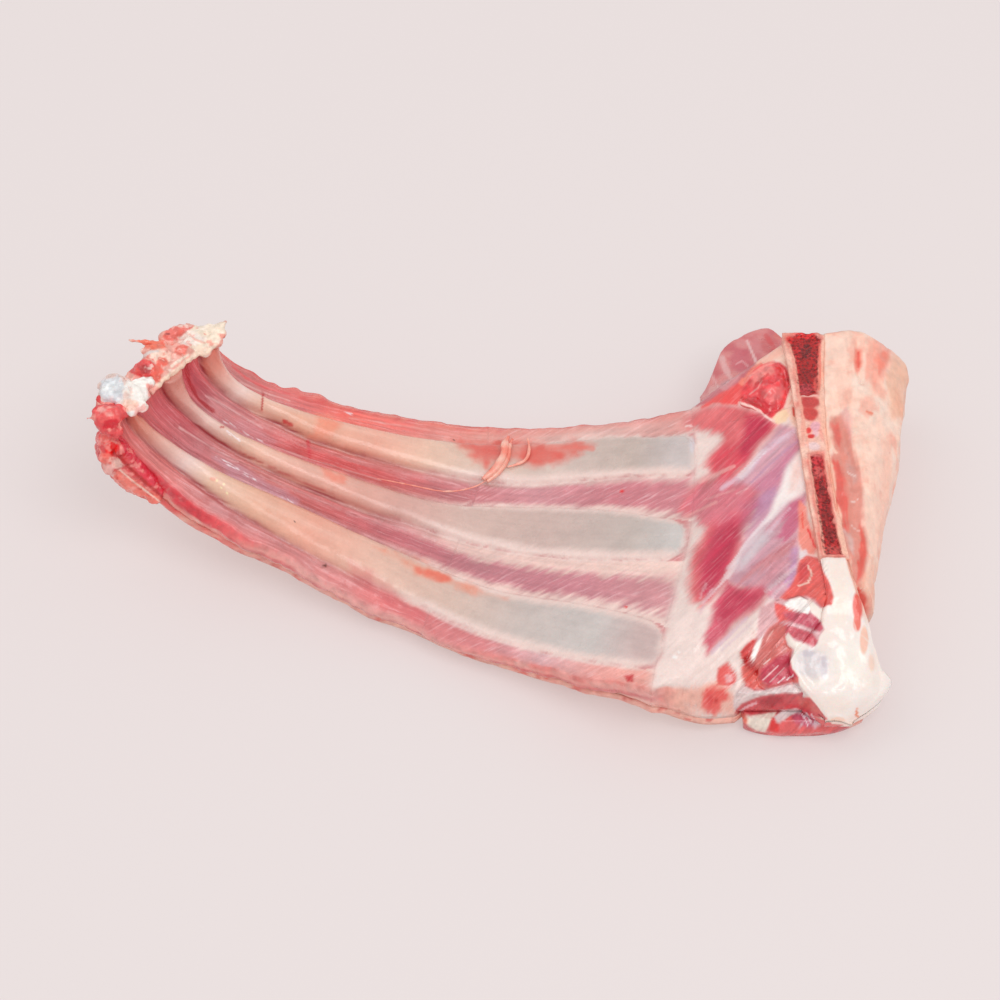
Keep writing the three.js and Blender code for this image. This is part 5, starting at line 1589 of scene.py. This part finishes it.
def lower_muscle():
    """The muscle under the cartilage, at the near corner."""
    obj, u, v, w = block("lower_muscle_piece", 110, 80, 8)
    side = 1 - 0.16 * np.abs(2 * u - 1) ** 3 - 0.05 * (1 - ease(u, 0, 0.12))
    far_y = LOWER_FAR - GAP
    y = between(far_y, LOWER_FAR - LOWER_WIDTH * side, v)
    near = ease(-y, 48, 60)
    left = sawn_left(np.maximum(y, -55.8)) - 1.3
    right = np.minimum(curve(SPLIT_RIGHT, y), 104) - 2 * near
    x = between(left, right, u)
    y = y - np.where(v > 1 - AT_END, np.sin(np.pi * w) * 1.2, 0)
    points = np.stack([x, y, (LOWER_TOP - 0.8 * near) * w], 1)
    points[:, 1] += np.where((v > 0.999) & (w > 0.02), 0.7 * rough(points, 5, 3, 501), 0)
    points[:, 2] += np.where(w > 0.98, 0.4 * rough(points, 4, 3, 504) * ease(v, 0.8, 0.9), 0)
    points[:, 0] -= 1.2 * w * (1 - ease(u, 0, 0.1))
    move_vertices(obj, points)
    tone = rough(points, 3, 3, 502)
    sx, sy = seen(points)
    colour = mottled(points, (226, 112, 114), (208, 88, 96), 0.5 + tone)
    colour = paint_corner(colour, sx, sy, points)
    silver = ease(streaks(sx, sy, 50, 14, 3, 503), 0.1, 0.7)
    silver = silver * ease(inside(SILVER_PATCH, sx, sy), -4, 4)
    colour = blend(colour, shade(236, 214, 222), silver * 0.8)
    cut_side = mottled(points, (228, 118, 108), (246, 178, 160), 0.5 + tone)
    colour = blend(colour, cut_side, ease(u, 0.88, 0.94))
    complete(obj, flesh("lower_muscle_finish", 0.42, 0.5, 0.05, gloss=0.5), "meat", ("lower_muscle",), colour,
             0.7 + 0.3 * tone)


# The lump of red meat at the far end of the breast, as (v, t).
FAR_MEAT_LEFT = [(0.02, 1.17), (0.06, 1.152), (0.107, 1.144), (0.15, 1.182), (0.19, 1.214), (0.21, 1.23)]
FAR_MEAT_RIGHT = [(0.02, 1.235), (0.06, 1.272), (0.1, 1.288), (0.15, 1.284), (0.19, 1.262), (0.21, 1.24)]


def far_meat():
    """The lump of red meat at the far end of the breast."""
    obj, u, v, w = block("far_meat_piece", 60, 60, 5)
    start, end = FAR_MEAT_LEFT[0][0], FAR_MEAT_LEFT[-1][0]
    at = between(start, end, v)
    first, last = curve(FAR_MEAT_LEFT, at), curve(FAR_MEAT_RIGHT, at)
    t = between(first, last, u)
    _, _, out, _ = sheet_axes(t, at)
    surface = sheet(t, at) - out * rib_rise(t)[:, None]
    px, py, pz = surface.T
    rim = np.sin(np.pi * np.clip(u, 0.05, 0.95)) * np.sin(np.pi * np.clip(v, 0.04, 0.96))
    lump = rough(surface, 4, 3, 601)
    cover = ease(skirt_cover(t, at), -4, 7) * 2.8
    folds = grain(spot(px + 0.7 * py, py * 0.3, pz), 2.2, 603) * 0.6
    high = cover * 0.9 - 0.6 + 2.2 * rim**0.5 + (1.8 * lump + folds) * np.sqrt(rim)
    surface[:, 2] += -1.2 + (high + 1.2) * w
    move_vertices(obj, surface)
    x, y = seen(surface)
    tone = rough(surface, 2.5, 3, 602)
    colour = mottled(surface, (238, 150, 140), (226, 100, 100), 0.4 + tone)
    colour = paint_far_end(fill(colour, CRIMSON[:2] + BONE_MARGIN, x, y, tone), x, y, surface)
    complete(obj, flesh("far_meat_finish", 0.36, 0.5, 0.05, gloss=0.7), "meat", ("far_meat",), colour,
             0.9 + 0 * tone)


FLAP_SPAN = (60, 89.8)
FLAP_LINES = [
    ("747,341 752,352 756,362", (240, 206, 204), 0.9, 0.7),
    ("722,358 728,374 737,388", (232, 186, 184), 2.4, 0.7),
    ("736,364 742,361 748,366", (232, 176, 178), 0.7, 0.6),
    ("712,376 720,390", (236, 196, 194), 1, 0.5),
    ("766,336 776,350 784,362", (214, 90, 92), 2, 0.7),
]
FLAP_SPOTS = [
    (740, 360, 12, 12, (206, 110, 120), 0.8), (730, 386, 12, 9, (204, 152, 156), 0.85),
    (770, 345, 12, 9, (206, 108, 110), 0.8), (756, 350, 7, 12, (212, 132, 136), 0.6),
    (716, 392, 8, 8, (222, 166, 162), 0.7), (744, 344, 9, 5, (222, 150, 150), 0.6),
    (784, 336, 10, 5, (226, 120, 112), 0.7), (722, 362, 7, 9, (222, 140, 138), 0.6)
]


def far_flap():
    """The flap of outer muscle behind the breast end."""
    obj, u, v, w = block("far_flap_piece", 70, 60, 8)
    x = between(*FLAP_SPAN, u)
    far_line = LINES[0]
    share = (x - far_line["foot"][0]) / (far_line["stern"][0] - far_line["foot"][0])
    root = between(far_line["foot"][1], far_line["stern"][1], share) + 1.1
    far = curve(FLAP_FAR + [(89, 68)], x)
    y = between(far, root, v)
    high = 19.5 + 3.5 * v + 1.2 * v**4 + 0.9 * rough(spot(x, y), 8, 3, 701)
    low = between(12, 2, ease(v, 0, 0.7))
    points = np.stack([x, y, between(low, high, w)], 1)
    push = 0.8 * rough(points, 5, 3, 702)
    points[:, 1] += np.where(v < AT_END, push + np.sin(np.pi * w), 0)
    points[:, 0] -= np.where(u < AT_END, push, 0)
    move_vertices(obj, points)
    sx, sy = seen(points)
    tone = rough(points, 5, 3, 703)
    colour = mottled(points, (214, 128, 130), (224, 146, 144), 0.5 + tone)
    colour = blend(colour, shade(198, 100, 108), ease(-tone, 0.0, 0.5) * 0.5)
    colour = daub(colour, FLAP_SPOTS, sx, sy, tone)
    colour = draw(colour, FLAP_LINES, sx, sy, tone)
    complete(obj, flesh("far_flap_finish", 0.42, 0.4, 0.08), "meat", ("far_flap",), colour, 0.6 + 0.3 * tone)


# ---------- the spine end
FAT_BALLS = [
    (225.5, 322, 56.6, 0.7, 0.6, 0.5), (222, 325, 56, 1.2, 1, 0.8), (217, 328, 55, 2.2, 1.6, 1.6),
    (211, 331, 54.2, 3, 2.2, 2.2), (219, 333, 54.6, 2.2, 1.8, 1.6), (214, 341, 54.2, 2.4, 2.2, 1.8),
    (198, 345, 54, 3, 2.6, 2.2), (204, 333, 53.8, 3.2, 2.4, 2.2), (209, 343, 53.5, 2.4, 2.4, 2),
    (205, 351, 53, 2, 2.2, 1.8), (197, 338, 54.5, 3, 2.5, 2.4), (190, 343, 54.8, 2.8, 2.4, 2.4),
    (183, 350, 55, 2.6, 2.4, 2.2), (176, 360, 55.2, 2.4, 2.4, 2.2), (170, 369, 55.3, 2.2, 2.2, 2),
    (164, 376, 55.4, 2, 2, 1.8), (190, 330, 54.6, 2.6, 1.8, 2.2), (183, 331, 55, 2.6, 1.8, 2.2),
    (175, 334, 55.2, 2.6, 2, 2.2), (167, 338, 55.6, 2.6, 2, 2.2), (160, 344, 57, 2.2, 1.5, 1.4),
    (153, 343, 57.5, 1.8, 1.2, 1.2), (146, 342, 58, 1.5, 1, 1), (139, 341, 58.3, 1.1, 0.8, 0.8),
    (133, 340.5, 58.6, 0.8, 0.6, 0.6), (129.5, 340, 58.8, 0.5, 0.45, 0.45), (160, 352, 56.5, 2.5, 2, 2),
    (152, 358, 56.5, 2.5, 2, 2.2), (146, 366, 57, 2.6, 2.3, 2.4), (142, 370, 57, 2.4, 2.2, 2.2),
    (150, 372, 56.6, 2.6, 2.2, 2), (158, 366, 56, 2.6, 2.4, 2), (144, 351, 58.4, 0.9, 0.7, 0.8),
    (148, 347, 58.6, 0.9, 0.7, 0.8), (154, 347, 58.6, 0.9, 0.7, 0.8), (157, 351, 58.2, 0.9, 0.7, 0.8)
]
FAT_PAINT = [
    ("164,340 166,328 176,324 190,327 198,323 206,327 198,334 186,336 178,341", (238, 118, 108), 1.4, 0.95),
    ("194,325 208,322 228,320 227,333 221,342 214,349 209,359 200,360 194,352 188,346 184,339 190,333",
     (251, 231, 210), 1.4, 1),
    ("176,336 188,332 200,334 206,338 198,346 186,347 178,342", (252, 236, 226), 1.6, 0.9),
    ("200,350 208,347 211,354 206,362 198,361", (246, 190, 176), 1.6, 0.8),
    ("176,347 183,344 190,346 187,353 180,355 175,352", (238, 104, 88), 1.2, 0.8),
    ("150,354 158,349 168,352 172,360 164,368 152,365", (252, 222, 204), 1.4, 0.9),
    ("158,358 166,357 170,364 163,368 158,364", (238, 98, 82), 1.2, 0.9),
    ("126,336 142,339 160,338 166,347 152,350 136,347", (246, 122, 98), 1.2, 0.95),
    ("124,336 134,337 138,343 128,344", (244, 210, 194), 1, 0.8),
    ("130,362 140,358 152,360 157,370 150,378 138,380 130,372", (232, 84, 84), 1.4, 1),
    ("139,367 146,365 152,369 148,373 141,373", (150, 40, 46), 1.4, 0.6),
    ("152,367 160,364 164,372 160,382 152,381", (242, 104, 88), 1.4, 0.9),
    ("134,374 142,377 139,382 131,379", (244, 170, 158), 1, 0.8),
    ("159,381 166,378 172,386 166,394 158,390", (232, 104, 96), 1.4, 0.9),
]
FAT_STROKES = [
    ("208,350 198,355 189,361 180,369 171,377 160,385", (253, 224, 202), 3, 0.95),
    ("172,366 180,360 188,355", (254, 236, 218), 1.2, 0.8),
    ("200,361 190,366 180,374 170,384", (226, 120, 108), 1, 0.7),
    ("142,357 150,352 158,351", (226, 216, 212), 1.1, 0.9),
    ("166,334 169,334", (120, 40, 36), 1.2, 0.8),
    ("189,334 196,340 205,343", (244, 176, 160), 1, 0.7),
]
CARTILAGE_BALLS = [
    (146, 383, 57.2, 2.4, 2.2, 2), (140, 386, 57.8, 2.6, 2.4, 2.2), (137, 394, 58, 2.8, 2.6, 2.4),
    (143, 397, 57, 2.2, 2.2, 2), (133, 402, 58, 2.6, 2.4, 2.2), (140, 406, 57.4, 2.4, 2.2, 2),
    (131, 410, 58, 2.2, 2.2, 2), (126, 398, 58.2, 2.4, 2.2, 2.2), (128, 388, 58, 2.2, 2, 2),
    (117, 385, 58.6, 2.6, 2.2, 2.2), (110, 387, 58.8, 2.4, 1.8, 2), (106, 393, 59, 2, 2.4, 2),
    (112, 399, 58.8, 2.6, 2.4, 2.2), (119, 394, 58.6, 2.8, 2.4, 2.2), (118, 403, 58.6, 2.2, 2, 2),
    (108, 383, 59, 1.6, 1.2, 1.2)
]
CARTILAGE_PAINT = [
    ("128,378 150,376 158,386 152,396 146,404 141,414 130,420 120,416 116,406 112,402 118,396 124,388",
     (253, 246, 239), 1.4, 1),
    ("101,380 118,375 123,383 123,396 116,406 103,404 99,392", (222, 222, 226), 1.4, 1),
    ("106,384 115,380 118,388 110,394", (238, 240, 242), 1.6, 0.9),
    ("122,400 130,397 137,403 134,411 125,412", (250, 202, 180), 1.6, 0.85),
    ("124,391 131,390 134,397 128,401 123,398", (230, 190, 178), 1.6, 0.8),
    ("146,384 153,384 156,392 149,397", (247, 146, 136), 1.4, 0.9),
    ("136,408 144,404 146,411 139,418 131,419", (242, 164, 156), 1.4, 0.8),
    ("116,398 121,394 124,399 119,404", (206, 196, 202), 1.2, 0.8),
]
KNOB_BALLS = [
    (107, 415, 58.5, 3.8, 3.2, 3), (101, 412, 58.5, 2.6, 2.4, 2.4), (113, 419, 58, 3, 2.6, 2.4),
    (118, 413, 58, 2.4, 2.2, 2), (104, 421, 57.5, 2.6, 2.2, 2.2), (112, 426, 56.5, 2.6, 2, 2.2),
    (105, 428, 56, 2, 1.8, 2), (109, 420, 57.6, 3, 2.6, 2.6), (114, 431, 54.5, 3, 2.4, 2.6),
    (94, 417, 58.5, 1.4, 1, 1), (90, 418, 58.3, 0.9, 0.7, 0.7), (87, 418.5, 58.2, 0.5, 0.45, 0.45)
]
KNOB_PAINT = [
    ("94,410 102,404 116,405 122,414 118,424 106,427 96,421", (246, 104, 102), 1.6, 0.95),
    ("98,408 106,406 108,411 100,414", (253, 180, 172), 1.2, 0.9),
    ("104,412 112,411 113,416 106,417", (252, 166, 158), 1, 0.8),
    ("104,420 118,418 120,428 108,432 101,428", (212, 44, 60), 1.4, 0.9),
    ("84,415 95,414 97,421 86,421", (250, 156, 146), 1.2, 0.9),
]
EDGE_ROWS = [
    (0.045, 0.6, 6, 10), (0.06, 2.6, 5, 14.5), (0.08, 4.2, 4.6, 16.5), (0.1, 5.2, 4.6, 17.5),
    (0.125, 4.6, 5.5, 18), (0.145, 2.8, 7, 17.5), (0.165, 0.6, 10, 15.5)
]
EDGE_BALLS = [
    (112, 431, 53, 2.4, 2, 2.6), (107, 438, 50, 2.8, 2.2, 2.6), (106, 446, 47, 2.6, 2.2, 2.6),
    (107, 456, 44, 2.6, 2.2, 2.6), (111, 465, 41, 2.6, 2.2, 2.4), (120, 474, 37, 2.4, 2.2, 2),
    (130, 481, 33.5, 2.4, 2.2, 1.8), (142, 489, 30.5, 2.4, 2.2, 1.8), (154, 497, 28.5, 2.2, 2, 1.6),
    (121, 448, 48, 2.2, 2.2, 2.4), (126, 458, 44, 2.4, 2.2, 2.4), (136, 470, 39, 2.4, 2.2, 2.2),
    (148, 480, 35, 2.4, 2.2, 2)
]
EDGE_PAINT = [
    ("108,428 132,430 150,458 172,482 196,500 192,522 166,500 140,476 124,455 112,440", (226, 70, 86), 1.6,
     0.95),
    ("100,430 112,428 118,440 112,446 101,444", (240, 112, 104), 1.6, 0.9),
    ("104,441 116,441 120,450 112,456 104,452", (250, 14, 24), 1.4, 1),
    ("109,448 114,448 115,452 110,453", (206, 0, 14), 1, 0.6),
    ("99,452 112,455 114,474 104,474 99,464", (242, 122, 110), 1.6, 0.9),
    ("111,458 121,457 125,466 118,471 111,468", (246, 208, 196), 1.4, 0.9),
    ("108,470 122,470 142,485 166,502 182,516 160,514 134,500 114,484", (248, 134, 120), 1.6, 0.95),
    ("101,464 112,463 117,475 106,479", (238, 186, 178), 1.4, 0.85),
]
EDGE_LINES = [
    ("120,470 134,482 150,494 168,508", (253, 216, 200), 0.8, 0.9),
    ("119,456 130,468 146,483 166,500", (186, 14, 36), 1.2, 0.8),
    ("112,430 118,440 124,452", (250, 160, 150), 0.8, 0.6),
    ("106,444 112,441 120,444 121,453", (248, 150, 140), 0.9, 0.8),
]


SPINE_FACE = 0.34  # size of a face of the spine end


def spine_base(span, through, height, seed):
    """The low lump that one part of the spine end grows from."""
    obj, u, v, w = block("spine_lump", 40, 70 if span[1] - span[0] > 0.5 else 40, 6)
    at = between(*span, v)
    along, _, out, _ = sheet_axes(np.full(at.shape, SPINE_CUT), at)
    inner, outer = through
    depth = between(outer, inner, u)
    base = sheet(SPINE_CUT, at) + out * (depth - RIB_RISE[0])[:, None]
    dome = np.sin(np.pi * np.clip(u, 0.1, 0.9)) ** 0.5 * np.sin(np.pi * np.clip(v, 0.05, 0.95)) ** 0.35
    rise = w * height * dome * (1 + 0.4 * rough(base, 6, 3, seed))
    move_vertices(obj, base - along * (rise - 0.5)[:, None])
    return obj


def edge_base():
    """The thick red edge of the meat below the spine end."""
    obj, u, v, w = block("edge_lump", 50, 24, 20)
    t = between(EDGE_ROWS[0][0], EDGE_ROWS[-1][0], u)
    reach, top, low = [curve(EDGE_ROWS, t, column) for column in (1, 2, 3)]
    _, across, out, _ = sheet_axes(t, t * 0 + 1)
    depth = between(low, top, w)
    face = sheet(t, t * 0 + 1) - out * depth[:, None]
    swell = np.sqrt(1 - 0.75 * (2 * w - 1) ** 2) * (1 + 0.25 * rough(face, 5, 3, 951))
    away = -0.6 + (1.35 + reach * swell) * v
    move_vertices(obj, face - across * away[:, None])
    return obj


def spine_piece(node, slot, balls, base, base_tone, areas, lines, seed, gloss, flecks, relief=0.34):
    """One part of the spine end, with its painted areas and its flecks of (tone, tone, amount)."""
    name = node + "_piece"
    obj = grown(name, balls, [base], SPINE_FACE, relief, seed)
    points = places_of(obj)
    x, y = seen(points)
    tone = rough(points, 3, 4, seed + 3)
    fine = rough(points, 1.2, 2, seed + 5)
    patch = rough(points, 2.2, 3, seed + 7)
    colour = lit(plain(base_tone, points), 0.15 * tone)
    colour = fill(colour, areas, x, y, 1.6 * tone + 1.2 * fine)
    one, other, amount = flecks
    colour = blend(colour, shade(*one), ease(patch + 0.5 * fine, 0.3, 0.7) * amount)
    colour = blend(colour, shade(*other), ease(-patch + 0.5 * fine, 0.3, 0.7) * amount)
    colour = draw(colour, lines, x, y, 0.8 * tone)
    colour = lit(colour, 0.2 * fine)
    complete(obj, flesh(name + "_finish", 0.4, 0.7, 0.04, gloss=gloss, mottle=0.3), slot, (node,), colour,
             0.6 + 0.5 * tone)


# Routes of the loose membrane, as (t, v, height over the rib tops).
STRAND_LOOP = [(0.676, 0.06, -0.8), (0.681, 0.1, 0), (0.68, 0.15, 0.2), (0.668, 0.18, 0.1), (0.645, 0.2, 0.3)]
STRAND_THREAD = [
    (0.612, 0.27, -0.4), (0.6, 0.3, -0.9), (0.57, 0.345, -1), (0.54, 0.375, -0.7), (0.5, 0.385, -0.7),
    (0.46, 0.4, -0.6), (0.43, 0.415, -0.6)
]
STRAND = [
    (0.639, 0.06, -0.9), (0.632, 0.1, 0), (0.636, 0.14, 0.2), (0.63, 0.19, 0), (0.619, 0.235, -0.6),
    (0.606, 0.27, -0.8)
]


def membrane_strand():
    """The loose fold of membrane across the first rib, with its thin loop and threads."""
    clear_selection()
    beside = [(t + 0.008, v + 0.004, above - 0.2) for t, v, above in STRAND]
    threads = [(STRAND, 1.2), (beside, 0.85), (STRAND_LOOP, 0.5), (STRAND_THREAD, 0.24)]
    pieces = []
    for path, radius in threads:
        t, v, above = np.array(path).T
        _, _, out, _ = sheet_axes(t, v)
        points = (sheet(t, v) + out * (above + radius)[:, None] + SHIFT) * MM
        line = bpy.data.curves.new("strand", "CURVE")
        line.dimensions = "3D"
        line.bevel_depth = radius * MM
        line.bevel_resolution = 4
        spline = line.splines.new("NURBS")
        spline.points.add(len(points) - 1)
        for number, (spot, place) in enumerate(zip(spline.points, points)):
            spot.co = (*place, 1)
            spot.radius = 0.45 if number in (0, len(points) - 1) else 1.0
        spline.order_u = 3
        spline.use_endpoint_u = True
        spline.resolution_u = 14
        line.use_fill_caps = True
        obj = bpy.data.objects.new("strand", line)
        bpy.context.scene.collection.objects.link(obj)
        pieces.append(obj)
    for obj in pieces:
        obj.select_set(True)
    bpy.context.view_layer.objects.active = pieces[0]
    bpy.ops.object.convert(target="MESH")
    bpy.ops.object.join()
    strand = bpy.context.object
    strand.name = strand.data.name = "membrane_fold"
    points = places_of(strand)
    groove = rough(points, 3, 2, 801)
    move_vertices(strand, points + vertices(strand, "normal") * (0.22 * groove)[:, None])
    colour = mottled(points, (248, 146, 128), (252, 196, 178), 0.4 + groove)
    complete(strand, flesh("membrane_finish", 0.4, 0.3, 0.15), "membrane", ("membrane_strand",), colour,
             0.7 + 0 * groove)


# ---------- the studio
LAMPS = [("key", (0.45, -0.5, 1.3), 0.8, 6), ("fill", (-0.7, 0.2, 1.3), 1, 2.4)]
SKY = 0.74


def studio():
    """The floor, the lamps, the pale surroundings and the camera."""
    clear_selection()
    bpy.ops.mesh.primitive_plane_add(size=8)
    ground = bpy.context.object
    ground.name = "floor"
    ground.data.materials.append(floor_finish())
    world = bpy.data.worlds.new("studio")
    world.use_nodes = True
    world.node_tree.nodes["Background"].inputs["Color"].default_value = (1, 1, 1, 1)
    world.node_tree.nodes["Background"].inputs["Strength"].default_value = SKY
    bpy.context.scene.world = world
    for name, place, size, power in LAMPS:
        light = bpy.data.lights.new(name, "AREA")
        light.size = size
        light.energy = power
        lamp = bpy.data.objects.new(name, light)
        lamp.location = place
        lamp.rotation_euler = (-Vector(place)).to_track_quat("-Z", "Y").to_euler()
        bpy.context.scene.collection.objects.link(lamp)
    camera = bpy.data.cameras.new("camera")
    camera.lens = LENS
    camera.sensor_width = SENSOR
    camera.clip_end = 20
    holder = bpy.data.objects.new("camera", camera)
    aim = Vector((np.array(AIM) + SHIFT) * MM)
    holder.location = aim + Vector((0, -math.cos(UP), math.sin(UP))) * DISTANCE
    holder.rotation_euler = (aim - holder.location).to_track_quat("-Z", "Y").to_euler()
    bpy.context.scene.collection.objects.link(holder)
    bpy.context.scene.camera = holder
    bpy.context.scene.view_settings.view_transform = "Standard"


# ---------- assembly
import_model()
rib_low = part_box("rib_bone_2")[0]
SHIFT = np.array([rib_low.x / MM - RIB_2_LOW[0], rib_low.y / MM - RIB_2_LOW[1], 0.0])

studio()
chest_wall()
outer_fat()
breastbone("breastbone_far", "marrow", (58.8, 36.8), 210)
breastbone("breastbone_cartilage", "cartilage", (37.2, 15.0), 220)
breastbone("breastbone_near", "marrow", (15.4, -19.2), 230)
breast_cartilage()
brisket_fat()
end_muscle()
lower_muscle()
far_meat()
far_flap()
spine_piece("spine_fat", "fat", FAT_BALLS, spine_base((0.0, 0.668), (0.6, -9.8), 3.0, 901), (246, 178, 164),
            FAT_PAINT, FAT_STROKES, 902, 0.6, ((234, 104, 92), (253, 238, 226), 0.6))
spine_piece("spine_cartilage", "cartilage", CARTILAGE_BALLS,
            spine_base((0.668, 0.905), (-1.3, -13), 4.0, 911), (236, 206, 196), CARTILAGE_PAINT, [], 912,
            0.6, ((240, 190, 178), (254, 252, 248), 0.5), 0.55)
spine_piece("spine_meat", "meat", KNOB_BALLS, spine_base((0.912, 0.998), (0.8, -9.5), 2.2, 921),
            (236, 92, 94), KNOB_PAINT, [], 922, 0.4, ((253, 172, 160), (210, 40, 54), 0.7), 0.5)
spine_piece("edge_meat", "meat", EDGE_BALLS, edge_base(), (232, 92, 94), EDGE_PAINT, EDGE_LINES, 932, 0.5,
            ((252, 170, 160), (200, 24, 44), 0.6), 0.45)
membrane_strand()
